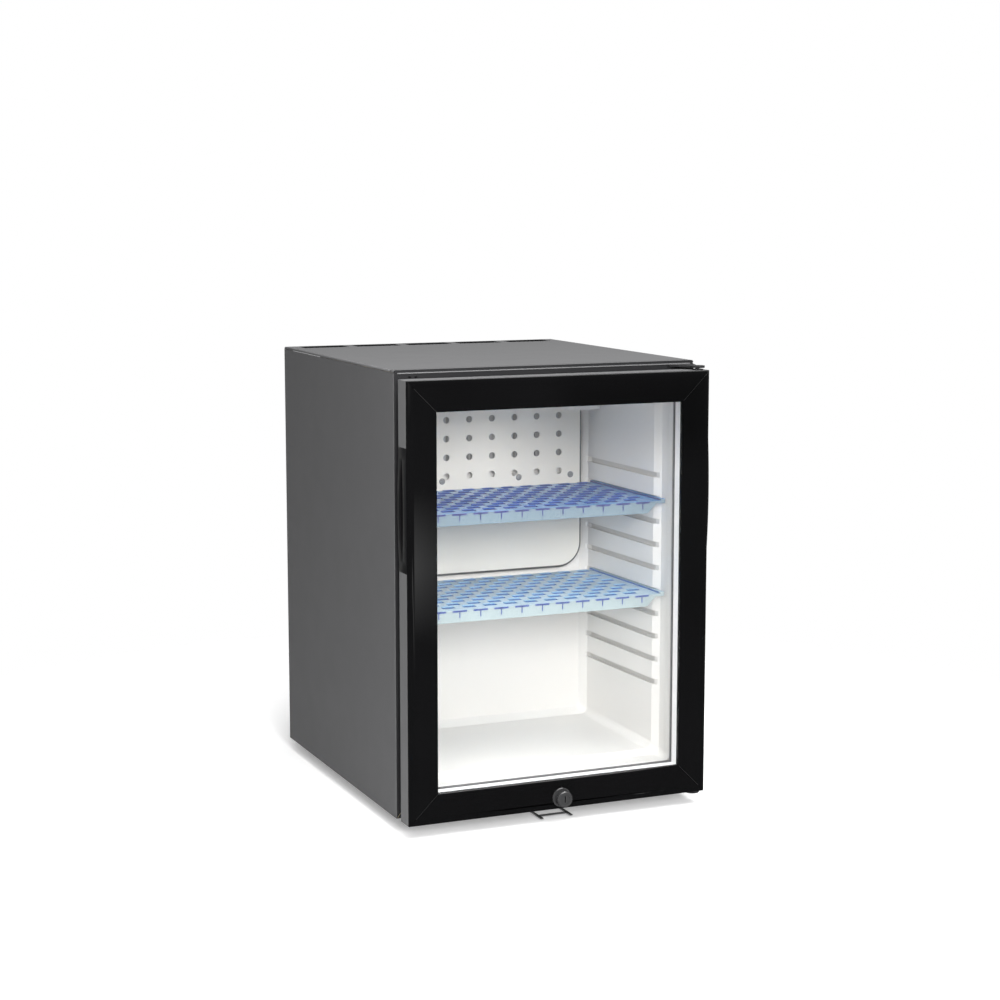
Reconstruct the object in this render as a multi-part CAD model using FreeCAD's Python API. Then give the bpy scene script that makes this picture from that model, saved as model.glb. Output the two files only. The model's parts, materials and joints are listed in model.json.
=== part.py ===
import FreeCAD, Part
import math
import os

V = FreeCAD.Vector

# Main sizes of the fridge, in millimetres
body_width = 402.0
body_height = 548.0
body_depth = 470.0
foot_height = 17.0
door_thickness = 29.0
door_gap = 15.0
door_top_drop = 9.5
door_bottom_lift = 1.0
lock_projection = 12.5

# Sheet metal, fits and the overrun of every cut
sheet = 0.8
bend_radius = 2.4
seam = 0.4
panel_fit = 0.2
running_fit = 0.05
slip_fit = 0.3
overrun = 2.0

# Front faces of the cabinet, where the door seal lands
side_flange = 27.5
bottom_flange = 34.5
top_flange = 40.0
rear_hem = 12.0
rail_depth = 10.0
rail_groove = 1.4
top_skirt = 2.8

# Vent slots in the top panel and in the floor of the rear bay
vent_count = 5
top_vent_web = 12.0
top_vent_width = 30.0
top_vent_rim = 6.0
floor_vent_web = 5.0
floor_vent_width = 9.0
floor_vent_rows = 3
floor_vent_pitch = 24.0

# Plastic liner: recessed mouth, draughted walls and shelf grooves
liner_wall = 2.0
liner_lip = 14.0
mouth_depth = 32.0
flare_depth = 11.0
flare_step = 6.0
liner_depth = 232.0
liner_draught = 6.0
liner_corner = 9.0
liner_rear_bevel = 9.0
groove_count = 10
groove_pitch = 30.0
groove_height = 7.0
groove_depth = 4.5
groove_rise = 91.5
groove_length = 178.0

# Insulated rear wall and the sheet that closes it
rear_insulation = 40.0

# Shelves: a ribbed grid with raised side rims and a front apron
shelf_groove_count = {"upper_shelf": 8, "lower_shelf": 4}
shelf_front_gap = 32.0
shelf_length = 197.0
shelf_play = 0.9
shelf_plate = 3.0
shelf_rim = 5.4
shelf_rim_width = 6.0
shelf_apron = 15.0
shelf_apron_wall = 2.4
shelf_columns = 11
shelf_column_pitch = 27.8
shelf_rows = 10
shelf_row_pitch = 18.6
shelf_slot_length = 17.0
shelf_slot_width = 8.0
shelf_margin = 15.0

# Perforated cover in front of the evaporator
cover_stand_off = 17.0
cover_wall = 1.5
cover_return = 7.0
cover_side_gap = 17.5
cover_height = 236.0
cover_top_gap = 8.0
cover_top_radius = 5.0
cover_low_radius = 30.0
cover_columns = 8
cover_hole_margin = 31.0
cover_hole_sides = 6
cover_rows = 4
cover_row_pitch = 24.8
cover_hole = 9.2
cover_first_row = 32.5
cover_post_shares = [0.38, 0.905]
cover_post_rise = 123.0
cover_post = 9.0
cover_post_sides = 6

# Evaporator: finned block inside and the pipe behind it
fin_count = 26
fin_side_gap = 23.6
fin_thickness = 0.9
fin_depth = 9.0
fin_base = 2.4
fin_height = 88.0
fin_rise = 134.0
saddle_width = 16.0
saddle_end_gap = 10.0
pipe_diameter = 14.0
evaporator_run_share = 0.423
pipe_depth = 3.0

# Ceiling lamp
lamp_width = 46.0
lamp_depth = 34.0
lamp_drop = 25.0
lamp_wall = 1.6
lamp_lens_height = 6.0
lamp_side_gap = 4.0
lamp_cover_gap = 6.0
lamp_corner = 7.0

# Door frame: hollow mitred profile behind a mitred fascia
frame_width = 38.0
fascia_thickness = 4.0
fascia_round = 9.0
fascia_edge = 2.2
fascia_sag_share = 0.22
fascia_lip = 1.2
frame_wall = 1.6
chamber_width = 22.0
mitre_gap = 0.1
key_leg = 52.0
key_thickness = 12.0

# Insulating glass
pane = 4.0
pane_gap = 14.0
spacer_width = 6.5
spacer_setback = 0.5
butyl = 0.7
butyl_squeeze = 1.0
glass_fit = 0.5

# Magnetic door seal
seal_inset = 16.0
seal_bottom_inset = 25.2
seal_width = 8.0
seal_base = 4.0
seal_neck = 3.4
seal_neck_inset = 1.8
seal_clearance = 0.3

# Finger grips in both sides of the door
grip_length = 150.0
grip_proud = 2.0
grip_rise_share = 0.7126
grip_slot_length = 126.0
grip_slot_width = 13.0
grip_slot_depth = 12.0
grip_wall = 1.6
grip_margin = 0.8

# Hinges
hinge_inset = 10.0
hinge_setback = 14.5
pin_diameter = 6.0
pin_length = 17.0
bush_wall = 2.0
bush_flange = 14.0
bush_flange_thickness = 0.8
bush_length = 20.0
bush_flange_sides = 12
hinge_plate = 2.5
hinge_lug_radius = 9.0
hinge_width = 36.0
hinge_top_gap = 2.5
hinge_flange = 12.0
hinge_reach = 18.0

# Lock in the bottom of the door
lock_rise = 15.0
lock_head = 20.0
lock_neck = 14.0
lock_head_length = 7.5
lock_bezel = 24.0
lock_bezel_thickness = 2.0
lock_sides = 24
lock_plug_diameter = 12.0
lock_plug_recess = 0.6
key_slot_length = 8.0
key_slot_width = 1.6
key_slot_depth = 9.0
lock_nut = 18.0
lock_nut_thickness = 2.6
nut_sides = 6
cam_thickness = 2.0
cam_width = 9.0
cam_length = 29.0
cam_gap = 0.4

# Strike under the door that the lock's cam drops into
strike_width = 44.0
strike_arm = 4.0
strike_plate = 1.5
strike_drop = 12.0
strike_front = 13.0
strike_bar_setback = 24.0
strike_bar = 4.0
strike_tab = 20.0
strike_step_setback = 3.0

# Feet
foot_diameter = 30.0
foot_tip = 24.0
foot_sides = 16
foot_inset = 34.0
foot_setback = 36.0

# Cooling unit in the open rear bay
unit_rail_low_share = 0.26
unit_rail_drop = 42.0
unit_rail_height = 34.0
unit_rail_depth = 18.0
unit_rail_flange = 10.0
unit_rail_end_gap = 6.0
boiler_diameter = 72.0
boiler_height_share = 0.55
boiler_side_gap = 83.0
boiler_rise = 108.0
heater_diameter = 16.0
heater_length = 30.0
heater_sides = 12
vessel_diameter = 56.0
vessel_pipe_depth = 14.0
vessel_side_gap = 47.0
vessel_control_gap = 10.0
vessel_rise = 80.0
coil_passes = 6
coil_drop = 47.0
coil_foot_gap = 58.0
coil_span_share = 0.373
condenser_drop = 63.0
condenser_side_gap = 61.0
condenser_fin_count = 15
condenser_fin_size = 40.0
condenser_fin_thickness = 0.8
condenser_fin_start = 30.0
condenser_fin_end = 60.0
condenser_fin_sides = 6
exchanger_diameter = 10.0
exchanger_offset = 18.0
pipe_sides = 12

# Control box and cable inlet in the rear bay
control_width = 92.0
control_height = 48.0
control_depth = 44.0
control_wall = 2.0
control_lid = 3.0
control_rise = 8.0
gland_hex = 22.0
gland_flange = 5.0
gland_diameter = 16.0
gland_length = 14.0
gland_bore = 8.0
gland_sides = 12

# Places that follow from the sizes above
half_width = body_width / 2
case_bottom = foot_height
case_top = case_bottom + body_height
door_front = (lock_projection - body_depth) / 2
door_rear = door_front + door_thickness
cabinet_front = door_rear + door_gap
cabinet_rear = door_front + body_depth
door_bottom = case_bottom + door_bottom_lift
door_top = case_top - door_top_drop
grip_level = door_bottom + grip_rise_share * (door_top - door_bottom)
mouth_front = cabinet_front + sheet
mouth_half = half_width - side_flange
mouth_bottom = case_bottom + bottom_flange
mouth_top = case_top - top_flange
flare_front = cabinet_front + mouth_depth
wall_front = flare_front + flare_depth
liner_rear = cabinet_front + liner_depth
wall_half = mouth_half - flare_step
floor_level = mouth_bottom + flare_step
ceiling_level = mouth_top - flare_step
rear_panel = liner_rear + liner_wall + rear_insulation
bay_front = rear_panel + sheet
unit_plane = bay_front + unit_rail_depth
lock_level = door_bottom + lock_rise
hinge_x = half_width - hinge_inset
hinge_y = door_front + hinge_setback
cover_front = liner_rear - cover_stand_off
cover_top = ceiling_level - cover_top_gap
cover_bottom = cover_top - cover_height
pipe_radius = pipe_diameter / 2
evaporator_run = body_width * evaporator_run_share
boiler_offset = half_width - boiler_side_gap
boiler_height = body_height * boiler_height_share
evaporator_y = liner_rear + liner_wall + pipe_depth + pipe_radius
evaporator_z = cover_bottom + fin_rise + fin_height / 2
unit_pipe_y = unit_plane + slip_fit + pipe_radius


def block(x, y, z):
    """A box between the low and high value on each axis."""
    return Part.makeBox(x[1] - x[0], y[1] - y[0], z[1] - z[0], V(x[0], y[0], z[0]))


def polygon(points):
    """A flat face through the points."""
    return Part.Face(Part.makePolygon(points + points[:1]))


def round_rect(x, z, radius, y):
    """A rectangle as a wire in the plane at y, with rounded corners where a radius is given."""
    (x0, x1), (z0, z1) = x, z
    if radius == 0:
        return Part.makePolygon([V(x0, y, z0), V(x1, y, z0), V(x1, y, z1), V(x0, y, z1), V(x0, y, z0)])
    corners = [(x1, z1, 0), (x0, z1, 90), (x0, z0, 180), (x1, z0, 270)]
    edges = []
    for cx, cz, start in corners:
        mid_x = cx - radius if start in (0, 270) else cx + radius
        mid_z = cz - radius if start in (0, 90) else cz + radius

        def at(degrees):
            turn = math.radians(degrees)
            return V(mid_x + radius * math.cos(turn), y, mid_z + radius * math.sin(turn))

        edges.append(Part.Arc(at(start), at(start + 45), at(start + 90)).toShape())
    joined = []
    for index, arc in enumerate(edges):
        following = edges[(index + 1) % len(edges)]
        joined.append(arc)
        joined.append(Part.LineSegment(arc.valueAt(arc.LastParameter),
                                       following.valueAt(following.FirstParameter)).toShape())
    return Part.Wire(joined)


def slab(x, z, radius, y):
    """A rounded rectangular plate between two values of y."""
    return Part.Face(round_rect(x, z, radius, y[0])).extrude(V(0, y[1] - y[0], 0))


def rod(start, end, diameter):
    """A round bar between two points."""
    return Part.makeCylinder(diameter / 2, (end - start).Length, start, end - start)


def ring_corners(centre, axis, reach, sides):
    """Corners of a regular polygon square to an axis, the first one beside the axis."""
    along = V(axis).normalize()
    side = V(1, 0, 0) if same(abs(along.z), 1) else V(0, 0, 1).cross(along)
    up = along.cross(side)
    turns = [2 * math.pi * index / sides for index in range(sides)]
    return [centre + side * (reach * math.cos(turn)) + up * (reach * math.sin(turn)) for turn in turns]


def prism(start, end, across, sides):
    """A many-sided bar between two points, by its width across the flats."""
    reach = across / 2 / math.cos(math.pi / sides)
    return polygon(ring_corners(start, end - start, reach, sides)).extrude(end - start)


def bent_rod(points, diameter):
    """A pipe along straight runs, mitred at each corner, with a many-sided section."""
    path = Part.makePolygon(points)
    corners = ring_corners(points[0], points[1] - points[0], diameter / 2, pipe_sides)
    ring = Part.makePolygon(corners + corners[:1])
    return path.makePipeShell([ring], True, False, 1)


def fillet(shape, radius, wanted):
    """Round the edges whose middle point passes the test."""
    edges = [edge for edge in shape.Edges if wanted(edge.CenterOfMass, edge)]
    return shape.makeFillet(radius, edges)


def chamfer(shape, size, wanted):
    """Bevel the edges whose middle point passes the test."""
    edges = [edge for edge in shape.Edges if wanted(edge.CenterOfMass, edge)]
    return shape.makeChamfer(size, edges)


def mirrored(shape):
    """The same piece on the other side of the fridge."""
    return shape.mirror(V(0, 0, 0), V(1, 0, 0))


def upside(shape):
    """A door piece turned over to the top of the door."""
    return shape.mirror(V(0, 0, (door_bottom + door_top) / 2), V(0, 0, 1))


def same(a, b):
    """Whether two places agree."""
    return abs(a - b) < panel_fit / 2


def union(shapes):
    """One solid out of overlapping or touching solids."""
    return shapes[0].multiFuse(shapes[1:]).removeSplitter()


def save(name, shape):
    """Write one node."""
    shape.exportStep("parts/" + name + ".step")


def side_panel():
    """Right side sheet with its mitred front flange and a rear hem."""
    top = case_top - top_skirt - seam
    wall = block((half_width - sheet, half_width), (cabinet_front, cabinet_rear), (case_bottom, top))
    flange = polygon([
        V(half_width, cabinet_front, case_bottom + mitre_gap),
        V(half_width, cabinet_front, top),
        V(half_width - top_skirt - seam, cabinet_front, top),
        V(mouth_half, cabinet_front, mouth_top - mitre_gap),
        V(mouth_half, cabinet_front, mouth_bottom + mitre_gap),
    ]).extrude(V(0, sheet, 0))
    hem = block((half_width - rear_hem, half_width), (cabinet_rear - sheet, cabinet_rear), (case_bottom, top))
    panel = union([wall, flange, hem])

    def front_bend(centre, edge):
        upright = same(abs(edge.tangentAt(edge.FirstParameter).z), 1)
        return upright and same(centre.x, half_width) and same(centre.y, cabinet_front)

    return fillet(panel, bend_radius / 2, front_bend)


def tray_edge(shape):
    """Round the long top edges of a folded top piece."""
    def long_edge(centre, edge):
        along = same(abs(edge.tangentAt(edge.FirstParameter).y), 1)
        return along and same(abs(centre.x), half_width) and same(centre.z, case_top)

    return fillet(shape, bend_radius, long_edge)


def folded_top(y):
    """A shallow folded tray, open below, that spans the top."""
    outer = block((-half_width, half_width), y, (case_top - top_skirt, case_top))
    inner = block((sheet - half_width, half_width - sheet), (y[0] + sheet, y[1] - sheet),
                  (case_top - top_skirt - overrun, case_top - sheet))
    return tray_edge(outer).cut(inner)


def top_panel():
    """Top sheet with a row of vents along its rear edge."""
    panel = folded_top((cabinet_front + rail_depth + rail_groove, cabinet_rear))
    free = body_width - 2 * rear_hem
    pitch = free / vent_count
    y = (cabinet_rear - top_vent_rim - top_vent_width, cabinet_rear - top_vent_rim)
    for index in range(vent_count):
        left = rear_hem - half_width + index * pitch + top_vent_web / 2
        slot = block((left, left + pitch - top_vent_web), y, (case_top - top_skirt, case_top + overrun))
        panel = panel.cut(slot)
    return panel


def front_rail():
    """Top front rail: a folded cap over a mitred face."""
    cap = folded_top((cabinet_front, cabinet_front + rail_depth))
    drop = top_skirt + seam
    lean = (side_flange - drop) / (top_flange - drop) * mitre_gap
    face = polygon([
        V(-half_width + drop + mitre_gap, cabinet_front, case_top - drop),
        V(-half_width + sheet, cabinet_front, case_top - top_skirt),
        V(-half_width + sheet, cabinet_front, case_top - sheet),
        V(half_width - sheet, cabinet_front, case_top - sheet),
        V(half_width - sheet, cabinet_front, case_top - top_skirt),
        V(half_width - drop - mitre_gap, cabinet_front, case_top - drop),
        V(mouth_half - lean, cabinet_front, mouth_top),
        V(lean - mouth_half, cabinet_front, mouth_top),
    ]).extrude(V(0, sheet, 0))
    return union([cap, face])


def base_pan():
    """Floor sheet with a mitred front flange and vents under the rear bay."""
    half = half_width - sheet - panel_fit
    rear = cabinet_rear - sheet - panel_fit
    floor = block((-half, half), (cabinet_front, rear), (case_bottom, case_bottom + sheet))
    face = polygon([
        V(-half + mitre_gap, cabinet_front, case_bottom),
        V(half - mitre_gap, cabinet_front, case_bottom),
        V(mouth_half - mitre_gap, cabinet_front, mouth_bottom),
        V(mitre_gap - mouth_half, cabinet_front, mouth_bottom),
    ]).extrude(V(0, sheet, 0))
    pan = union([floor, face])
    pitch = (body_width - 2 * foot_inset - 2 * foot_diameter) / vent_count
    for row in range(floor_vent_rows):
        y = bay_front + floor_vent_pitch * (row + 1)
        for index in range(vent_count):
            left = pitch * (index - vent_count / 2) + floor_vent_web / 2
            pan = pan.cut(block((left, left + pitch - floor_vent_web), (y, y + floor_vent_width),
                                (case_bottom - overrun, case_bottom + sheet + overrun)))
    return pan


def wall_at(y):
    """Half width of the draughted liner wall at a depth."""
    return wall_half - liner_draught * (y - wall_front) / (liner_rear - wall_front)


def liner_solid(grow, corner):
    """The liner's hollow, grown outward by a wall, with its corner radius."""
    stations = [
        (mouth_front, 0.0),
        (flare_front + grow / 2, 0.0),
        (wall_front + grow / 2, flare_step),
        (liner_rear - liner_rear_bevel + grow / 2, flare_step + liner_draught),
        (liner_rear + grow, flare_step + liner_draught + liner_rear_bevel),
    ]
    wires = []
    for y, step in stations:
        x = mouth_half - step + grow
        z = (mouth_bottom + step - grow, mouth_top - step + grow)
        wires.append(round_rect((-x, x), z, corner, y))
    hollow = Part.makeLoft(wires, True, True)
    cutters = []
    for index in range(groove_count):
        low = floor_level + groove_rise - flare_step + groove_pitch * index
        front = flare_front
        rear = wall_front + groove_length
        outer_front = min(wall_at(wall_front) + groove_depth, mouth_half) + grow
        outline = polygon([
            V(0, front, low - grow),
            V(outer_front, front, low - grow),
            V(outer_front, wall_front, low - grow),
            V(wall_at(rear) + groove_depth + grow, rear, low - grow),
            V(wall_at(rear) + grow, rear + groove_depth + grow, low - grow),
            V(0, rear + groove_depth + grow, low - grow),
        ])
        groove = outline.extrude(V(0, 0, groove_height + 2 * grow))
        cutters += [groove, mirrored(groove)]
    return hollow.multiFuse(cutters)


def inner_liner():
    """White liner with its lip, shelf grooves and openings for the evaporator."""
    lip_x = mouth_half + liner_lip
    lip_z = (mouth_bottom - liner_lip, mouth_top + liner_lip)
    lip = slab((-lip_x, lip_x), lip_z, liner_corner, (mouth_front, mouth_front + liner_wall))
    liner = liner_solid(liner_wall, 0).fuse(lip).cut(liner_solid(0, liner_corner))
    mouth = slab((-mouth_half, mouth_half), (mouth_bottom, mouth_top), liner_corner,
                 (mouth_front - overrun, mouth_front + liner_wall + overrun))
    return liner.cut(mouth).cut(saddle(slip_fit))


def insulation():
    """Foam between the sheets and the liner, with a channel for the pipe."""
    x = half_width - sheet - panel_fit
    z = (case_bottom + sheet + panel_fit, case_top - top_skirt - panel_fit)
    y = (mouth_front + liner_wall + panel_fit, rear_panel - panel_fit)
    foam = block((-x, x), y, z).cut(liner_solid(liner_wall + panel_fit, 0))
    foam = foam.cut(evaporator_bar(pipe_diameter + 2 * slip_fit))
    return foam.cut(saddle(slip_fit))


def back_panel():
    """Sheet that closes the insulated body towards the rear bay."""
    x = half_width - sheet - panel_fit
    z = (case_bottom + sheet + panel_fit, case_top - top_skirt - panel_fit)
    panel = block((-x, x), (rear_panel, bay_front), z)
    for side in (-1, 1):
        place = V(side * evaporator_run / 2, rear_panel - overrun, evaporator_z)
        panel = panel.cut(rod(place, place + V(0, sheet + 2 * overrun, 0), pipe_diameter + 2 * slip_fit))
    return panel


def shelf(name):
    """A sliding shelf: slotted plate, raised side rims and a front apron."""
    level = floor_level + groove_rise - flare_step + groove_pitch * shelf_groove_count[name] + panel_fit
    front = cabinet_front - door_gap + shelf_front_gap
    rear = front + shelf_length
    play = groove_depth - shelf_play

    def outline(inset, low, high):
        near = wall_at(wall_front) + play - inset
        far = wall_at(rear) + play - inset
        face = polygon([V(-near, front, low), V(near, front, low), V(near, wall_front, low),
                        V(far, rear, low), V(-far, rear, low), V(-near, wall_front, low)])
        return face.extrude(V(0, 0, high - low))

    hollow = outline(shelf_rim_width, level + shelf_plate, level + shelf_rim + overrun)
    plate = outline(0.0, level, level + shelf_rim).cut(hollow)
    slots = []
    first_row = front + shelf_margin
    for row in range(shelf_rows):
        y = first_row + row * shelf_row_pitch
        shift = shelf_column_pitch / 4 * (1 if row % 2 else -1)
        for column in range(shelf_columns):
            x = (column - (shelf_columns - 1) / 2) * shelf_column_pitch + shift
            slots.append(block((x - shelf_slot_length / 2, x + shelf_slot_length / 2),
                               (y, y + shelf_slot_width), (level - overrun, level + shelf_rim)))
    plate = plate.cut(Part.makeCompound(slots))
    top = level + shelf_plate
    wide = wall_at(wall_front) - shelf_rim_width
    narrow = wide - shelf_apron
    apron = polygon([V(-wide, front, top), V(wide, front, top),
                     V(narrow, front, top - shelf_apron), V(-narrow, front, top - shelf_apron)])
    return plate.fuse(apron.extrude(V(0, shelf_apron_wall, 0))).removeSplitter()


def cover_half():
    """Half the width of the evaporator cover, from the wall beside it."""
    return wall_at(cover_front) - cover_side_gap


def cover_post_places():
    """Points on the front of the evaporator cover that its posts hold."""
    return [V(side * share * cover_half(), cover_front, cover_bottom + cover_post_rise)
            for share in cover_post_shares for side in (-1, 1)]


def cover_outline(inset, y):
    """Outline of the evaporator cover as a plate, with large lower corners."""
    x = cover_half() - inset
    upper = slab((-x, x), (cover_bottom + cover_low_radius, cover_top - inset), cover_top_radius, y)
    lower = slab((-x, x), (cover_bottom + inset, cover_top - cover_low_radius), cover_low_radius - inset, y)
    return upper.fuse(lower).removeSplitter()


def evaporator_cover():
    """Perforated cover: a shallow pan with turned edges."""
    pan = cover_outline(0.0, (cover_front, cover_front + cover_return))
    pan = pan.cut(cover_outline(cover_wall, (cover_front + cover_wall, cover_front + cover_return + overrun)))
    holes = []
    pitch = 2 * (cover_half() - cover_hole_margin) / (cover_columns - 1)
    for row in range(cover_rows):
        z = cover_top - cover_first_row - row * cover_row_pitch
        for column in range(cover_columns):
            x = (column - (cover_columns - 1) / 2) * pitch
            start = V(x, cover_front - overrun, z)
            end = V(x, cover_front + cover_wall + overrun, z)
            holes.append(prism(start, end, cover_hole, cover_hole_sides))
    return pan.cut(Part.makeCompound(holes))


def cover_spacers():
    """Six-sided posts between the cover and the rear wall."""
    return Part.makeCompound([prism(place + V(0, cover_wall, 0), place + V(0, cover_stand_off, 0),
                                    cover_post, cover_post_sides) for place in cover_post_places()])


def saddle(grow):
    """Block that passes through the rear wall and cups the evaporator pipe."""
    x = evaporator_run / 2 - saddle_end_gap + grow
    z = saddle_width / 2 + grow
    return block((-x, x), (liner_rear - grow, evaporator_y), (evaporator_z - z, evaporator_z + z))


def evaporator_fins():
    """Finned block on the rear wall, with its saddle on the pipe."""
    z = (evaporator_z - fin_height / 2, evaporator_z + fin_height / 2)
    half = cover_half() - fin_side_gap
    pitch = (2 * half - fin_thickness) / (fin_count - 1)
    pieces = [block((-half, half), (liner_rear - fin_base, liner_rear), z), saddle(0.0)]
    for index in range(fin_count):
        x = (index - (fin_count - 1) / 2) * pitch
        pieces.append(block((x - fin_thickness / 2, x + fin_thickness / 2),
                            (liner_rear - fin_base - fin_depth, liner_rear - fin_base), z))
    return union(pieces).cut(evaporator_bar(pipe_diameter + 2 * running_fit))


def evaporator_bar(diameter):
    """Pipe behind the rear wall, with both ends turned out to the rear bay."""
    x = evaporator_run / 2
    points = [V(-x, bay_front, evaporator_z), V(-x, evaporator_y, evaporator_z),
              V(x, evaporator_y, evaporator_z), V(x, bay_front, evaporator_z)]
    return bent_rod(points, diameter)


def lamp_box():
    """Outer faces of the lamp under the ceiling."""
    right = wall_at(cover_front) - lamp_side_gap
    rear = cover_front - lamp_cover_gap
    share = (rear - wall_front) / (liner_rear - liner_rear_bevel - wall_front)
    roof = ceiling_level - liner_draught * share
    return (right - lamp_width, right), (rear - lamp_depth, rear), (roof - lamp_drop, roof)


def lamp_outline(inset, low, high):
    """A block of the lamp's plan with bevelled corners."""
    (x0, x1), (y0, y1), _ = lamp_box()
    shape = block((x0 + inset, x1 - inset), (y0 + inset, y1 - inset), (low, high))
    return chamfer(shape, lamp_corner - inset,
                   lambda centre, edge: same(abs(edge.tangentAt(edge.FirstParameter).z), 1))


def lamp_housing():
    """Lamp housing, hollow and open below."""
    low, high = lamp_box()[2]
    body = lamp_outline(0.0, low, high)
    roof = liner_solid(0, liner_corner).common(body)
    return roof.cut(lamp_outline(lamp_wall, low - overrun, high - lamp_drop / 2))


def lamp_lens():
    """Lens that closes the lamp housing from below."""
    low = lamp_box()[2][0]
    return lamp_outline(lamp_wall + running_fit, low, low + lamp_lens_height)


def mitre(low, high, half, upright, y):
    """Wedge that trims one member of the door frame to its mitres."""
    width = frame_width + overrun
    if upright:
        outline = [(half, low + mitre_gap), (half, high - mitre_gap),
                   (half - width, high - width - mitre_gap), (half - width, low + width + mitre_gap)]
    else:
        outline = [(half - mitre_gap, low), (-half + mitre_gap, low),
                   (-half + width + mitre_gap, low + width), (half - width - mitre_gap, low + width)]
    return polygon([V(x, y[0], z) for x, z in outline]).extrude(V(0, y[1] - y[0], 0))


def member_sections():
    """Sections of the frame profile and fascia as (inward, back) outlines."""
    rear = door_thickness
    rebate = fascia_thickness + 2 * pane + pane_gap + slip_fit
    lip = frame_width - spacer_setback
    body = [(0, fascia_thickness), (chamber_width, fascia_thickness), (chamber_width, rebate),
            (lip, rebate), (lip, rear), (0, rear)]
    wall = frame_wall
    hollow = [(wall, fascia_thickness + wall), (chamber_width - wall, fascia_thickness + wall),
              (chamber_width - wall, rear - wall), (wall, rear - wall)]
    return body, hollow


def fascia_face(place):
    """Section of the fascia: rounded outside edge, flat front, small inner lip."""
    sag = fascia_edge * fascia_sag_share
    start = place(0, fascia_edge)
    end = place(fascia_round, 0)
    edges = [Part.Arc(start, place(fascia_round / 2, sag), end).toShape()]
    corners = [end, place(frame_width - fascia_lip, 0), place(frame_width, fascia_lip),
               place(frame_width, fascia_thickness), place(0, fascia_thickness), start]
    edges += [Part.LineSegment(a, b).toShape() for a, b in zip(corners, corners[1:])]
    return Part.Face(Part.Wire(edges))


def door_members():
    """The four frame members and the four fascia strips by name."""
    x = half_width
    y = (door_front, door_rear)
    body, hollow = member_sections()
    upright = mitre(door_bottom, door_top, x, True, y)
    lower = mitre(door_bottom, door_top, x, False, y)
    rise = V(0, 0, door_top - door_bottom)
    upper = upside(lower)
    runs = {
        "right": (lambda a, b: V(x - a, door_front + b, door_bottom), rise, upright),
        "left": (lambda a, b: V(a - x, door_front + b, door_bottom), rise, mirrored(upright)),
        "bottom": (lambda a, b: V(-x, door_front + b, door_bottom + a), V(body_width, 0, 0), lower),
        "top": (lambda a, b: V(-x, door_front + b, door_top - a), V(body_width, 0, 0), upper),
    }
    members = {}
    for side, (place, run, wedge) in runs.items():
        solid = polygon([place(a, b) for a, b in body]).extrude(run)
        core = polygon([place(a, b) for a, b in hollow]).extrude(run)
        members["door_frame_" + side] = solid.cut(core).common(wedge)
        members["door_fascia_" + side] = fascia_face(place).extrude(run).common(wedge)
    return members


def glass_ring(outer, inner, y):
    """A rectangular ring inside the door, by its insets from the door's edge."""
    x = half_width
    whole = block((outer - x, x - outer), y, (door_bottom + outer, door_top - outer))
    hole = block((inner - x, x - inner), (y[0] - overrun, y[1] + overrun),
                 (door_bottom + inner, door_top - inner))
    return whole.cut(hole)


def glass_pane(front):
    """One pane of the insulating glass."""
    inset = chamber_width + glass_fit
    return block((inset - half_width, half_width - inset), (front, front + pane),
                 (door_bottom + inset, door_top - inset))


def seal_ring(inset, y):
    """One layer of the door seal, narrowed by an inset on both edges."""
    x = half_width - seal_inset - inset
    z = (door_bottom + seal_bottom_inset + inset, door_top - seal_inset - inset)
    width = seal_width - 2 * inset
    outer = block((-x, x), y, z)
    return outer.cut(block((width - x, x - width), y, (z[0] + width, z[1] - width)))


def door_seal():
    """Magnetic seal: foot, folded neck and magnet head."""
    neck = door_rear + seal_base
    head = neck + seal_neck
    return union([seal_ring(0.0, (door_rear, neck)), seal_ring(seal_neck_inset, (neck, head)),
                  seal_ring(0.0, (head, cabinet_front - seal_clearance))])


def bow(length, width, y, x):
    """A lens-shaped plate standing on the side of the door."""
    z = grip_level
    tip = length / 2
    shoulder = width / 2
    front = Part.Arc(V(x[0], y, z - tip), V(x[0], y - shoulder, z), V(x[0], y, z + tip)).toShape()
    back = Part.Arc(V(x[0], y, z + tip), V(x[0], y + shoulder, z), V(x[0], y, z - tip)).toShape()
    return Part.Face(Part.Wire([front, back])).extrude(V(x[1] - x[0], 0, 0))


def grip_middle():
    """Depth at which the finger slot is centred, on the side of the frame."""
    return door_front + (fascia_thickness + door_thickness) / 2


def grip_pocket(grow):
    """The finger slot's cup, grown outward by a wall."""
    deep = half_width - grip_slot_depth - grow
    return bow(grip_slot_length + 4 * grow, grip_slot_width + 2 * grow, grip_middle(),
               (deep, half_width + grip_proud + overrun))


def finger_grip():
    """Right grip: a low bowed plate with its finger cup let into the frame."""
    z = grip_level
    tip = grip_length / 2
    y0 = door_front + fascia_edge + grip_margin
    y1 = door_rear - grip_margin
    x = half_width
    crown = Part.Arc(V(x, y0, z - tip), V(x + grip_proud, y0, z), V(x, y0, z + tip)).toShape()
    base = Part.LineSegment(V(x, y0, z + tip), V(x, y0, z - tip)).toShape()
    plate = Part.Face(Part.Wire([crown, base])).extrude(V(0, y1 - y0, 0))
    cup = grip_pocket(grip_wall).common(block((0, x), (door_front, door_rear), (door_bottom, door_top)))
    return plate.fuse(cup).cut(grip_pocket(0.0)).removeSplitter()


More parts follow.
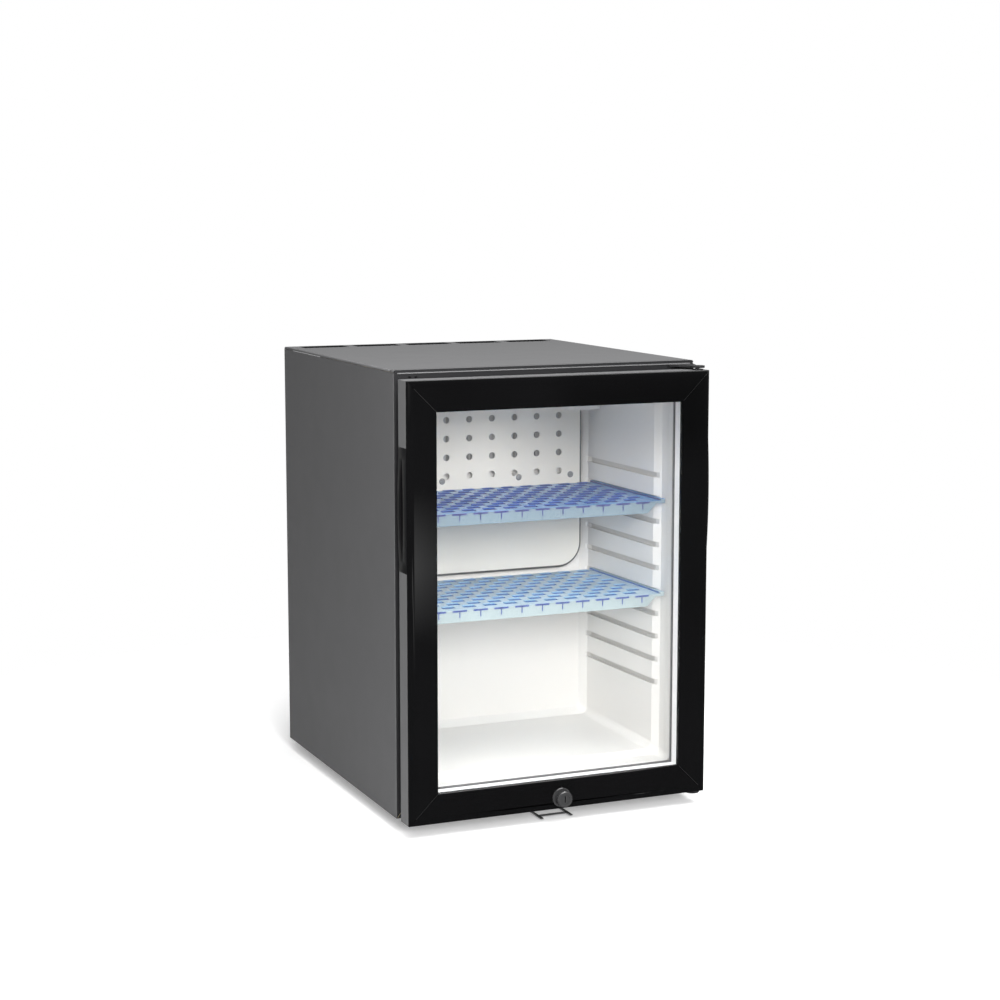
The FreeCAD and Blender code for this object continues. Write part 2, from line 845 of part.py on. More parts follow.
def corner_key(side, upper):
    """L-shaped key inside one corner of the door frame."""
    fit = frame_wall + slip_fit
    y0 = door_front + fascia_thickness + fit
    y1 = y0 + key_thickness
    width = chamber_width - 2 * fit
    x0 = half_width - fit
    z0 = door_bottom + fit
    key = polygon([V(x0, y0, z0), V(x0, y0, z0 + key_leg), V(x0 - width, y0, z0 + key_leg),
                   V(x0 - width, y0, z0 + width), V(x0 - key_leg, y0, z0 + width),
                   V(x0 - key_leg, y0, z0)]).extrude(V(0, y1 - y0, 0))
    if side > 0:
        key = key.cut(rod(V(hinge_x, hinge_y, door_bottom - overrun),
                          V(hinge_x, hinge_y, door_bottom + bush_length + overrun),
                          pin_diameter + 2 * bush_wall + 2 * slip_fit))
    if upper:
        key = upside(key)
    return key if side > 0 else mirrored(key)


def hinge_bush():
    """Flanged bush in the bottom of the door."""
    low = V(hinge_x, hinge_y, door_bottom - bush_flange_thickness)
    seat = V(hinge_x, hinge_y, door_bottom)
    top = V(hinge_x, hinge_y, door_bottom + bush_length)
    flange = prism(low, seat, bush_flange, bush_flange_sides)
    body = flange.fuse(rod(seat, top, pin_diameter + 2 * bush_wall))
    return body.cut(rod(low - V(0, 0, overrun), top + V(0, 0, overrun), pin_diameter + 2 * running_fit))


def hinge_plate_outline(low, rear):
    """Flat hinge plate with a round lug about the pin."""
    left = half_width - hinge_width
    right = half_width - sheet
    lug = Part.makeCylinder(hinge_lug_radius, hinge_plate, V(hinge_x, hinge_y, low))
    nose = polygon([V(hinge_x, hinge_y - hinge_lug_radius, low), V(hinge_x, hinge_y, low),
                    V(right, cabinet_front - hinge_plate, low), V(right, rear, low), V(left, rear, low),
                    V(left, cabinet_front - hinge_plate, low)])
    return lug.fuse(nose.extrude(V(0, 0, hinge_plate))).removeSplitter()


def top_hinge():
    """Top hinge bracket: plate over the door and a flange down the front rail."""
    low = door_top + hinge_top_gap
    high = low + hinge_plate
    plate = hinge_plate_outline(low, cabinet_front)
    flange = block((half_width - hinge_width, half_width - sheet),
                   (cabinet_front - hinge_plate, cabinet_front), (high - hinge_flange, high))
    return plate.fuse(flange).removeSplitter()


def bottom_hinge():
    """Bottom hinge bracket under the base pan."""
    low = case_bottom - hinge_plate
    return hinge_plate_outline(low, cabinet_front + hinge_reach)


def hinge_pins():
    """Pins standing in the two hinge brackets."""
    low = V(hinge_x, hinge_y, case_bottom)
    high = V(hinge_x, hinge_y, door_top + hinge_top_gap)
    return Part.makeCompound([rod(low, low + V(0, 0, pin_length), pin_diameter),
                              rod(high - V(0, 0, hinge_top_gap + pin_length), high, pin_diameter)])


def lock_axis(y):
    """A point on the lock's axis."""
    return V(0, y, lock_level)


def lock_barrel():
    """Lock body: round head on a neck, bezel and a shank through the door."""
    front = door_front - lock_projection
    head = prism(lock_axis(front), lock_axis(front + lock_head_length), lock_head, lock_sides)
    bezel = prism(lock_axis(door_front - lock_bezel_thickness), lock_axis(door_front), lock_bezel, lock_sides)
    shank = rod(lock_axis(front + lock_head_length), lock_axis(door_rear + lock_nut_thickness), lock_neck)
    body = union([head, bezel, shank])
    bore = rod(lock_axis(front - overrun), lock_axis(door_rear + lock_nut_thickness + overrun),
               lock_plug_diameter + 2 * running_fit)
    return body.cut(bore)


def lock_nut_ring():
    """Six-sided nut that clamps the lock behind the door."""
    nut = prism(lock_axis(door_rear), lock_axis(door_rear + lock_nut_thickness), lock_nut, nut_sides)
    return nut.cut(rod(lock_axis(door_rear - overrun), lock_axis(door_rear + lock_nut_thickness + overrun),
                       lock_neck + 2 * running_fit))


def lock_plug():
    """Turning plug with its key slot."""
    front = door_front - lock_projection + lock_plug_recess
    rear = door_rear + lock_nut_thickness + cam_gap
    plug = rod(lock_axis(front), lock_axis(rear), lock_plug_diameter)
    slot = block((-key_slot_width / 2, key_slot_width / 2), (front - overrun, front + key_slot_depth),
                 (lock_level - key_slot_length / 2, lock_level + key_slot_length / 2))
    return plug.cut(slot)


def lock_cam():
    """Cam on the rear of the plug, lying sideways when unlocked."""
    y = door_rear + lock_nut_thickness + cam_gap
    half = cam_width / 2
    arm = block((-cam_length, 0), (y, y + cam_thickness), (lock_level - half, lock_level + half))
    hub = rod(lock_axis(y), lock_axis(y + cam_thickness), lock_plug_diameter)
    arm = fillet(arm, half / 2, lambda centre, edge: same(centre.x, -cam_length)
                 and same(abs(edge.tangentAt(edge.FirstParameter).y), 1))
    return arm.fuse(hub).removeSplitter()


def lock_strike():
    """Stepped strike: tab under the base, web, and a fork with a cross bar."""
    half = strike_width / 2
    step = cabinet_front + strike_step_setback
    top = case_bottom - strike_drop
    tab = block((-half, half), (step, step + strike_plate + strike_tab),
                (case_bottom - strike_plate, case_bottom))
    web = block((-half, half), (step, step + strike_plate), (top - strike_plate, case_bottom))
    fork = block((-half, half), (door_front + strike_front, step + strike_plate), (top - strike_plate, top))
    inner = half - strike_arm
    bar = door_front + strike_bar_setback
    gap = block((-inner, inner), (door_front, bar), (top - strike_plate - overrun, top + overrun))
    window = block((-inner, inner), (bar + strike_bar, step), (top - strike_plate - overrun, top + overrun))
    return union([tab, web, fork]).cut(gap).cut(window)


def foot(x, y):
    """A tapered many-sided foot under the base."""
    rings = []
    for level, across in ((0, foot_tip), (case_bottom, foot_diameter)):
        corners = ring_corners(V(x, y, level), V(0, 0, 1), across / 2, foot_sides)
        rings.append(Part.makePolygon(corners + corners[:1]))
    return Part.makeLoft(rings, True, True)


def feet(y):
    """A pair of feet at one depth."""
    x = half_width - foot_inset
    return Part.makeCompound([foot(-x, y), foot(x, y)])


def unit_rail_levels():
    """Heights of the lower and upper rail."""
    return case_bottom + unit_rail_low_share * body_height, evaporator_z - unit_rail_drop


def unit_rail(level):
    """Hat-shaped rail across the rear bay that carries the cooling unit."""
    low = level - unit_rail_height / 2
    high = low + unit_rail_height
    inner = [(0, -unit_rail_flange), (sheet, -unit_rail_flange), (sheet, -sheet),
             (unit_rail_depth, -sheet)]
    section = [V(0, bay_front + b, low + a) for b, a in inner]
    section += [V(0, bay_front + b, high - a) for b, a in reversed(inner)]
    section += [V(0, bay_front, high), V(0, bay_front + unit_rail_depth - sheet, high),
                V(0, bay_front + unit_rail_depth - sheet, low), V(0, bay_front, low)]
    half = half_width - rear_hem - unit_rail_end_gap
    rail = polygon(section).extrude(V(2 * half, 0, 0))
    rail.translate(V(-half, 0, 0))
    return rail


def boiler_place():
    """Axis of the boiler, at its foot."""
    return V(boiler_offset, unit_plane + slip_fit + boiler_diameter / 2, case_bottom + boiler_rise)


def boiler():
    """Insulated boiler canister."""
    low = boiler_place()
    return rod(low, low + V(0, 0, boiler_height), boiler_diameter)


def heater():
    """Heater cartridge below the boiler."""
    top = boiler_place()
    return prism(top - V(0, 0, heater_length), top, heater_diameter, heater_sides)


def vessel_ends():
    """The two ends of the absorber vessel on its axis."""
    y = unit_plane + slip_fit + vessel_diameter / 2
    z = case_bottom + vessel_rise
    return (V(vessel_side_gap - half_width, y, z),
            V(boiler_offset - control_width / 2 - vessel_control_gap, y, z))


def vessel():
    """Absorber vessel: a lying tank."""
    left, right = vessel_ends()
    return rod(left, right, vessel_diameter)


def absorber_coil():
    """Absorber coil: from the evaporator down in passes to the vessel."""
    x = -evaporator_run / 2
    reach = body_width * coil_span_share / 2
    ends = [x - reach, x + reach]
    tank = vessel_ends()[0].z
    level = evaporator_z - coil_drop
    pitch = (level - tank - vessel_diameter / 2 - coil_foot_gap) / (coil_passes - 1)
    points = [V(x, bay_front, evaporator_z), V(x, unit_pipe_y, evaporator_z), V(x, unit_pipe_y, level)]
    for index in range(coil_passes):
        points.append(V(ends[index % 2], unit_pipe_y, level))
        level -= pitch
        points.append(V(ends[index % 2], unit_pipe_y, level))
    points[-1].z = tank
    return bent_rod(points, pipe_diameter).cut(vessel())


def condenser_pipe():
    """Condenser pipe: up from the boiler, across, back and into the evaporator."""
    start = boiler_place() + V(0, 0, boiler_height)
    top = case_top - condenser_drop
    far = condenser_side_gap - half_width
    x = evaporator_run / 2
    points = [start, V(start.x, start.y, top), V(far, start.y, top), V(far, unit_pipe_y, top),
              V(x, unit_pipe_y, top), V(x, unit_pipe_y, evaporator_z), V(x, bay_front, evaporator_z)]
    return bent_rod(points, pipe_diameter)


def condenser_fins():
    """Square fins pressed on the condenser pipe."""
    axis = boiler_place()
    top = case_top - condenser_drop
    half = condenser_fin_size / 2
    first = axis.x - condenser_fin_start
    last = condenser_side_gap - half_width + condenser_fin_end
    pitch = (first - last) / (condenser_fin_count - 1)
    fins = []
    for index in range(condenser_fin_count):
        x = first - index * pitch
        fin = block((x - condenser_fin_thickness, x), (axis.y - half, axis.y + half),
                    (top - half, top + half))
        hole = prism(V(x - overrun, axis.y, top), V(x + overrun, axis.y, top),
                     pipe_diameter + 2 * running_fit, condenser_fin_sides)
        fins.append(fin.cut(hole))
    return Part.makeCompound(fins)


def exchanger_pipe():
    """Pipe from the vessel's end up into the boiler's foot."""
    end = vessel_ends()[1]
    foot_point = boiler_place()
    turn = foot_point.x - exchanger_offset
    points = [end - V(vessel_pipe_depth, 0, 0), V(turn, end.y, end.z), V(turn, end.y, foot_point.z)]
    return bent_rod(points, exchanger_diameter).cut(vessel())


def control_outline(inset, y):
    """A block of the control box's front, smaller by an inset."""
    x = boiler_offset
    half = control_width / 2 - inset
    low = case_bottom + sheet + control_rise + inset
    high = low + control_height - 2 * inset
    return block((x - half, x + half), y, (low, high))


def control_box():
    """Box for the controls, hollow behind its lid."""
    rear = bay_front + control_depth
    body = control_outline(0.0, (bay_front, rear))
    return body.cut(control_outline(control_wall, (bay_front + control_wall, rear + overrun)))


def control_lid_plate():
    """Lid of the control box, with the hole of the cable inlet."""
    rear = bay_front + control_depth
    lid = control_outline(0.0, (rear, rear + control_lid))
    place = gland_place()
    return lid.cut(rod(place - V(0, overrun + control_lid, 0), place + V(0, overrun, 0), gland_bore))


def gland_place():
    """Middle of the cable inlet on the lid."""
    level = case_bottom + sheet + control_rise + control_height / 2
    return V(boiler_offset, bay_front + control_depth + control_lid, level)


def cable_gland():
    """Cable inlet: six-sided collar and a neck."""
    place = gland_place()
    collar = prism(place, place + V(0, gland_flange, 0), gland_hex, nut_sides)
    neck = prism(place + V(0, gland_flange, 0), place + V(0, gland_length, 0), gland_diameter, gland_sides)
    bore = rod(place - V(0, overrun, 0), place + V(0, gland_length + overrun, 0), gland_bore)
    return collar.fuse(neck).cut(bore)


def door_pieces():
    """Door frame, fascia, grips, keys and bushes, with the holes that they share."""
    pieces = door_members()
    shank = rod(lock_axis(door_front - overrun), lock_axis(door_rear + overrun), lock_neck + 2 * running_fit)
    bush_hole = rod(V(hinge_x, hinge_y, door_bottom - overrun),
                    V(hinge_x, hinge_y, door_bottom + bush_length + slip_fit),
                    pin_diameter + 2 * bush_wall + 2 * running_fit)
    pocket = grip_pocket(grip_wall + slip_fit)
    for side, hand in (("right", lambda shape: shape), ("left", mirrored)):
        pieces["door_frame_" + side] = pieces["door_frame_" + side].cut(hand(pocket))
        pieces["door_grip_" + side] = hand(finger_grip())
    bores = {"bottom": bush_hole, "top": upside(bush_hole)}
    for end, bore in bores.items():
        for name in ("door_frame_" + end, "door_frame_right"):
            pieces[name] = pieces[name].cut(bore)
    for name in ("door_frame_bottom", "door_fascia_bottom"):
        pieces[name] = pieces[name].cut(shank)
    pieces["hinge_bushes"] = Part.makeCompound([hinge_bush(), upside(hinge_bush())])
    pieces["corner_keys"] = Part.makeCompound([corner_key(side, upper) for side in (-1, 1)
                                               for upper in (False, True)])
    return pieces


def glazing():
    """Panes, spacer, sealing strips and edge seal of the insulating glass."""
    front = door_front + fascia_thickness
    space = (front + pane, front + pane + pane_gap)
    inner = frame_width - spacer_setback
    outer = inner - spacer_width
    strips = [glass_ring(outer, inner, (space[0], space[0] + butyl)),
              glass_ring(outer, inner + butyl_squeeze, (space[1] - butyl, space[1]))]
    return {
        "front_pane": glass_pane(front),
        "rear_pane": glass_pane(space[1]),
        "glass_spacer": glass_ring(outer, inner, (space[0] + butyl, space[1] - butyl)),
        "spacer_strips": Part.makeCompound(strips),
        "glass_edge_seal": glass_ring(chamber_width + glass_fit, outer, space),
    }


def all_pieces():
    """Every node of the fridge by its name."""
    right = side_panel()
    pieces = {
        "side_panel_right": right,
        "side_panel_left": mirrored(right),
        "top_panel": top_panel(),
        "front_rail": front_rail(),
        "base_pan": base_pan(),
        "back_panel": back_panel(),
        "insulation": insulation(),
        "inner_liner": inner_liner(),
        "evaporator_cover": evaporator_cover(),
        "cover_spacers": cover_spacers(),
        "evaporator_fins": evaporator_fins(),
        "evaporator_pipe": evaporator_bar(pipe_diameter),
        "lamp_housing": lamp_housing(),
        "lamp_lens": lamp_lens(),
        "top_hinge": top_hinge(),
        "bottom_hinge": bottom_hinge(),
        "hinge_pins": hinge_pins(),
        "lock_strike": lock_strike(),
        "front_feet": feet(cabinet_front + foot_setback),
        "rear_feet": feet(cabinet_rear - foot_setback),
        "unit_rails": Part.makeCompound([unit_rail(level) for level in unit_rail_levels()]),
        "boiler": boiler(),
        "heater": heater(),
        "absorber_vessel": vessel(),
        "absorber_coil": absorber_coil(),
        "condenser_pipe": condenser_pipe(),
        "condenser_fins": condenser_fins(),
        "exchanger_pipe": exchanger_pipe(),
        "control_box": control_box(),
        "control_lid": control_lid_plate(),
        "cable_gland": cable_gland(),
        "door_seal": door_seal(),
        "lock_barrel": lock_barrel(),
        "lock_nut": lock_nut_ring(),
        "lock_plug": lock_plug(),
        "lock_cam": lock_cam(),
    }
    for name in shelf_groove_count:
        pieces[name] = shelf(name)
    pieces.update(glazing())
    pieces.update(door_pieces())
    return pieces


os.makedirs("parts", exist_ok=True)
for node, solid in all_pieces().items():
    save(node, solid)
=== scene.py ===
import json
import math

import bmesh
import bpy
from mathutils import Matrix, Vector


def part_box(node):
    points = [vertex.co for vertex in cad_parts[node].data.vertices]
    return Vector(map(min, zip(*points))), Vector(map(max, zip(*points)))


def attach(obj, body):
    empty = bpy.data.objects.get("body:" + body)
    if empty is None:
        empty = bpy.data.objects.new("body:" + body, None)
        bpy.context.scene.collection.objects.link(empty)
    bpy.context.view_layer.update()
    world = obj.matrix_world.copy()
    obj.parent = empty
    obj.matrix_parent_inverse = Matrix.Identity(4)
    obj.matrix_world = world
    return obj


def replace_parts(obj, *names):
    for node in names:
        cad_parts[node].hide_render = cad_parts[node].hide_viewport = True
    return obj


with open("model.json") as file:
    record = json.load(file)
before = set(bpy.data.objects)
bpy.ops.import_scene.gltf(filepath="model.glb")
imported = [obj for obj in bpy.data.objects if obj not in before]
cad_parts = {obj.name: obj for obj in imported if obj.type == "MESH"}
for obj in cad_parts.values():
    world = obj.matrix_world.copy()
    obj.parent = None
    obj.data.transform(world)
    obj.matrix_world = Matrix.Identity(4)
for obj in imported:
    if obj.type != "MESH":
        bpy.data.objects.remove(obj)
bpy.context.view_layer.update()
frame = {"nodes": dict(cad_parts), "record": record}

# Camera, fitted to the door, the glass and the case in the photograph
camera_place = (-1.0716, -2.52695, 0.7709)
camera_yaw = 0.4064
camera_pitch = 0.1436
camera_lens = 76.064
sensor = 36.0
camera_reach = 100.0

# Studio
floor_size = 6.0
floor_grey = 0.86
floor_lift = 0.30
floor_clear = (0.45, 1.0)
floor_rough = 0.9
floor_drift = 0.99
world_fill = 0.16
front_reflection = 0.12
rear_reflection = 0.26
reflection_band = (-0.6, 0.2)
top_light = {"place": (0.25, -0.9, 2.5), "aim": (0.0, 0.0, 0.4), "size": 2.2, "power": 108.0}
front_light = {"place": (-0.80, -3.1, 1.20), "aim": (0.0, 0.0, 0.28), "size": 0.9, "power": 86.0,
               "mirrored": False}
right_light = {"place": (2.6, -1.2, 1.4), "aim": (0.0, 0.0, 0.3), "size": 1.6, "power": 6.0}
left_light = {"place": (-0.55, -0.80, 0.64), "aim": (-0.2, -0.22, 0.35), "size": 0.5, "power": 3.7,
              "mirrored": False}
front_card = {"place": (-0.5, -3.2, 1.65), "aim": (0.0, 0.0, 0.25), "size": (1.4, 1.4), "glow": 2.2}
side_card = {"place": (0.33, -1.70, 0.06), "aim": (-0.18, -0.24, 0.26), "size": (0.26, 0.30), "glow": 3.4}
lamp_flag = {"place": (0.06, -0.36, 0.538), "aim": (0.06, 0.0, 0.538), "size": (0.19, 0.086)}
card_half = 0.5

# Noise and bump that the finishes share
noise_band = (0.3, 0.7)
noise_detail = 3.0
fine_detail = 2.0
broad_scale = 24.0
fine_bump = 0.0002
faint_bump = 0.0001
foam_bump = 0.0006
glass_drift = 0.985
shelf_drift = 0.9
glass_ior = 1.45
shelf_ior = 1.49
shelf_level = 0.14
zinc_cells = 90.0
foam_cells = 900.0
upright_limit = 0.6
front_limit = -0.8

# Colour sockets of a mix node, which share their names with others and so go by number
mix_colours = (6, 7)
mixed_colour = 2

# Side walls of the liner, past which its shelf grooves lie and the liner is painted darker as painted shade
groove_half = 0.1675
groove_draught = 0.0317
groove_front = -0.1415

# Edges and seams of the solids
weld_gap = 0.00001
sharp_angle = math.radians(32)
smooth_angle = math.radians(40)
moulded_edge = 0.0008
pressed_edge = 0.0004
sheet_edge = 0.0002
glass_edge = 0.0003
edge_steps = 2

# Cooling unit, as in the solids
pipe_bend = 0.020
exchanger_bend = 0.014
pipe_sides = 6
pipe_steps = 10
bend_share = 0.48
coil_passes = 6
coil_drop = 0.047
coil_foot_gap = 0.058

# Cover in front of the evaporator, as in the solids
cover_wall = 0.0015
cover_hole = 0.0046
cover_columns = 8
cover_rows = 4
cover_hole_margin = 0.031
cover_first_row = 0.0325
cover_row_pitch = 0.0248
cover_top_radius = 0.005
cover_low_radius = 0.030
cover_post_rise = 0.123
cover_post_share = 0.42
cover_edge = 0.0002
# How far the black strip stands out past the cover's edge: painted shadow on the rear wall.
seal_shadow_proud = 0.0034
arc_handle = 0.5523
plate_steps = 8

# Small fasteners
lathe_steps = 28
screw_foot_share = 0.5
screw_base_share = 0.9
cross_width = 0.22
cross_reach = 0.62
cross_depth = 0.55
cover_screw = (0.0043, 0.0016)
hinge_screw = (0.0036, 0.0014)
plug_cap = (0.0019, 0.0005)
strike_screw = (0.0033, 0.0012)
cam_screw = (0.00325, 0.0016)
rail_screw = (0.0042, 0.0018)
lid_screw = (0.0028, 0.0012)
hinge_screw_insets = (0.0205, 0.0285)
plug_drop = 0.0086
hinge_sheet = 0.0025
hinge_screw_margin = 0.009
rail_screw_inset = 0.030
rail_screw_rises = (0.005, 0.049)
rail_sheet = 0.0008
strike_screw_spread = 0.012
strike_screw_inset = 0.010
strike_sheet = 0.0015
lid_screw_margin = 0.007

# Bead on the top front rail
bead_drop = 0.0040
bead_height = 0.0013
bead_proud = 0.0005
bead_end_gap = 0.0050

# Mitre lines on the flat of the door fascia
seam_width = 0.0005
seam_proud = 0.00005
fascia_dome = 0.0090
fascia_lip = 0.0012

# Ribs on the shelf aprons and bars behind the slots
rib_count = 11
rib_pitch = 0.0278
rib_width = 0.0013
rib_bar_width = 0.0190
rib_bar_height = 0.0022
rib_proud = 0.0005
rib_foot = 0.0055
slot_rows = 10
slot_row_pitch = 0.0186
slot_start = 0.0230
bar_length = 0.0155
bar_width = 0.0030
bar_rise = 0.0010
shelf_lip = 0.0040
shelf_rim = 0.0024

# Turned pieces of the cooling unit, the feet and the lock
vessel_dome = 0.016
boiler_dome = 0.009
dome_steps = 6
band_shares = (0.2, 0.5, 0.8)
band_half = 0.006
band_flat = 0.0056
band_sink = 0.001
band_proud = 0.0006
foot_tip_share = 0.8
foot_round = 0.001
foot_collar = 0.003
lock_chamfer = 0.0012
lock_bore = 0.00605
lock_neck = 0.0070
lock_head = 0.0075
bezel_rim = 0.002
bezel_height = 0.002

# Half of the door gasket's section, as shares of its width and depth: base, two folds and the magnet strip
gasket_width = 0.008
gasket_shares = [(0.0, 0.0), (0.0, 0.16), (0.14, 0.24), (0.30, 0.27), (0.30, 0.33), (0.10, 0.38),
                 (0.10, 0.43), (0.32, 0.48), (0.32, 0.53), (0.0, 0.58), (0.0, 0.94), (0.06, 1.0)]


def look(place, aim):
    """Rotation of a lamp or card that faces from one point to another."""
    return (Vector(aim) - Vector(place)).to_track_quat("-Z", "Y")


# Shader node groups that several finishes share

def new_group(name, inputs, outputs):
    """An empty node group with named sockets; returns its tree, input node and output node."""
    tree = bpy.data.node_groups.new(name, "ShaderNodeTree")
    for label, kind, value in inputs:
        socket = tree.interface.new_socket(label, in_out="INPUT", socket_type=kind)
        socket.default_value = value
    for label, kind in outputs:
        tree.interface.new_socket(label, in_out="OUTPUT", socket_type=kind)
    return tree, tree.nodes.new("NodeGroupInput"), tree.nodes.new("NodeGroupOutput")


def feed(tree, value, socket):
    """Set a socket to a number or colour, or link another socket to it."""
    if isinstance(value, (float, tuple)):
        socket.default_value = value
    else:
        tree.links.new(value, socket)


def noise(tree, vector, scale, detail):
    """A noise texture on a vector."""
    made = tree.nodes.new("ShaderNodeTexNoise")
    made.inputs["Detail"].default_value = detail
    tree.links.new(vector, made.inputs["Vector"])
    feed(tree, scale, made.inputs["Scale"])
    return made.outputs["Fac"]


def mapped(tree, value, low, high):
    """The usual band of a noise spread between two limits, given as sockets or numbers."""
    made = tree.nodes.new("ShaderNodeMapRange")
    made.inputs["From Min"].default_value, made.inputs["From Max"].default_value = noise_band
    tree.links.new(value, made.inputs["Value"])
    feed(tree, low, made.inputs["To Min"])
    feed(tree, high, made.inputs["To Max"])
    return made.outputs["Result"]


def blend_colour(tree, factor, first, second):
    """Two colours mixed by a factor."""
    made = tree.nodes.new("ShaderNodeMix")
    made.data_type = "RGBA"
    tree.links.new(factor, made.inputs["Factor"])
    for colour, number in zip((first, second), mix_colours):
        feed(tree, colour, made.inputs[number])
    return made.outputs[mixed_colour]


def object_place(tree):
    """Position on the piece, in metres."""
    return tree.nodes.new("ShaderNodeTexCoord").outputs["Object"]


def tone_group():
    """Slow drift between two close colours."""
    tree, given, put = new_group("SurfaceTone", [
        ("Base", "NodeSocketColor", (0.5, 0.5, 0.5, 1.0)),
        ("Shade", "NodeSocketColor", (0.4, 0.4, 0.4, 1.0)),
        ("Scale", "NodeSocketFloat", 6.0),
    ], [("Color", "NodeSocketColor")])
    place = object_place(tree)
    slow = noise(tree, place, given.outputs["Scale"], noise_detail)
    spread = mapped(tree, slow, 0.0, 1.0)
    colour = blend_colour(tree, spread, given.outputs["Base"], given.outputs["Shade"])
    tree.links.new(colour, put.inputs["Color"])
    return tree


def grain_group():
    """Fine surface grain as a bump height, and a roughness that varies broadly."""
    tree, given, put = new_group("FineGrain", [
        ("Scale", "NodeSocketFloat", 900.0),
        ("Smooth", "NodeSocketFloat", 0.35),
        ("Rough", "NodeSocketFloat", 0.45),
    ], [("Height", "NodeSocketFloat"), ("Roughness", "NodeSocketFloat")])
    place = object_place(tree)
    fine = noise(tree, place, given.outputs["Scale"], fine_detail)
    broad = noise(tree, place, broad_scale, noise_detail)
    tree.links.new(fine, put.inputs["Height"])
    rough = mapped(tree, broad, given.outputs["Smooth"], given.outputs["Rough"])
    tree.links.new(rough, put.inputs["Roughness"])
    return tree


def brushed_group():
    """Fine lines along one axis, as a height and a roughness."""
    tree, given, put = new_group("BrushedLines", [
        ("Stretch", "NodeSocketVector", (40.0, 1600.0, 1600.0)),
        ("Smooth", "NodeSocketFloat", 0.22),
        ("Rough", "NodeSocketFloat", 0.42),
    ], [("Height", "NodeSocketFloat"), ("Roughness", "NodeSocketFloat")])
    scaled = tree.nodes.new("ShaderNodeVectorMath")
    scaled.operation = "MULTIPLY"
    tree.links.new(object_place(tree), scaled.inputs[0])
    tree.links.new(given.outputs["Stretch"], scaled.inputs[1])
    lines = noise(tree, scaled.outputs["Vector"], 1.0, fine_detail)
    tree.links.new(lines, put.inputs["Height"])
    rough = mapped(tree, lines, given.outputs["Smooth"], given.outputs["Rough"])
    tree.links.new(rough, put.inputs["Roughness"])
    return tree


def calc(tree, operation, first, second=None):
    """One arithmetic step on sockets or numbers."""
    made = tree.nodes.new("ShaderNodeMath")
    made.operation = operation
    for index, value in enumerate((first, second)):
        if value is not None:
            feed(tree, value, made.inputs[index])
    return made.outputs["Value"]


def split(tree, vector):
    """The three parts of a vector."""
    made = tree.nodes.new("ShaderNodeSeparateXYZ")
    tree.links.new(vector, made.inputs["Vector"])
    return made.outputs


def face_normal(tree):
    """The three parts of the flat normal."""
    return split(tree, tree.nodes.new("ShaderNodeNewGeometry").outputs["True Normal"])


def side_wall_group():
    """Masks of the upright walls of a shelf: those behind its front lip, which are painted darker as painted
    shade in the slots, and the front apron.
    """
    tree, given, put = new_group("UprightWalls", [("Front", "NodeSocketFloat", 0.0)],
                                 [("Walls", "NodeSocketFloat"), ("Apron", "NodeSocketFloat")])
    upright = calc(tree, "LESS_THAN", calc(tree, "ABSOLUTE", face_normal(tree)["Z"]), upright_limit)
    behind = calc(tree, "GREATER_THAN", split(tree, object_place(tree))["Y"], given.outputs["Front"])
    tree.links.new(calc(tree, "MULTIPLY", upright, behind), put.inputs["Walls"])
    ahead = calc(tree, "SUBTRACT", 1.0, behind)
    tree.links.new(calc(tree, "MULTIPLY", upright, ahead), put.inputs["Apron"])
    return tree


def groove_shade_group():
    """Mask of the inside of the shelf grooves, which lie beyond the draughted side walls; the liner is
    painted darker there as painted shade.
    """
    tree, given, put = new_group("PaintedGrooveShade", [
        ("Half", "NodeSocketFloat", groove_half),
        ("Draught", "NodeSocketFloat", groove_draught),
        ("Front", "NodeSocketFloat", groove_front),
    ], [("Mask", "NodeSocketFloat")])
    place = split(tree, object_place(tree))
    depth = calc(tree, "SUBTRACT", place["Y"], given.outputs["Front"])
    taper = calc(tree, "MULTIPLY", depth, given.outputs["Draught"])
    wall = calc(tree, "SUBTRACT", given.outputs["Half"], taper)
    beyond = calc(tree, "GREATER_THAN", calc(tree, "ABSOLUTE", place["X"]), wall)
    behind = calc(tree, "GREATER_THAN", depth, 0.0)
    tree.links.new(calc(tree, "MULTIPLY", beyond, behind), put.inputs["Mask"])
    return tree


def front_face_group():
    """Mask of the faces that look to the front, which are painted darker behind the door."""
    tree, given, put = new_group("FrontFaces", [], [("Mask", "NodeSocketFloat")])
    tree.nodes.remove(given)
    tree.links.new(calc(tree, "LESS_THAN", face_normal(tree)["Y"], front_limit), put.inputs["Mask"])
    return tree


groups = {
    "tone": tone_group(), "grain": grain_group(), "brushed": brushed_group(),
    "walls": side_wall_group(), "front": front_face_group(), "groove": groove_shade_group(),
}


# Finishes

def rgba(colour):
    """A colour with full alpha."""
    return tuple(colour) + (1.0,)


def place_group(tree, name, **values):
    """One use of a shared group, with its own values."""
    made = tree.nodes.new("ShaderNodeGroup")
    made.node_tree = groups[name]
    for label, value in values.items():
        made.inputs[label].default_value = value
    return made


def bump(tree, shader, height, strength, distance):
    """Feed a height to the shader's normal."""
    made = tree.nodes.new("ShaderNodeBump")
    made.inputs["Strength"].default_value = strength
    made.inputs["Distance"].default_value = distance
    tree.links.new(height, made.inputs["Height"])
    tree.links.new(made.outputs["Normal"], shader.inputs["Normal"])


def bare_finish(name):
    """A new material; returns it with its tree and its shader."""
    made = bpy.data.materials.new(name)
    made.use_nodes = True
    return made, made.node_tree, made.node_tree.nodes["Principled BSDF"]


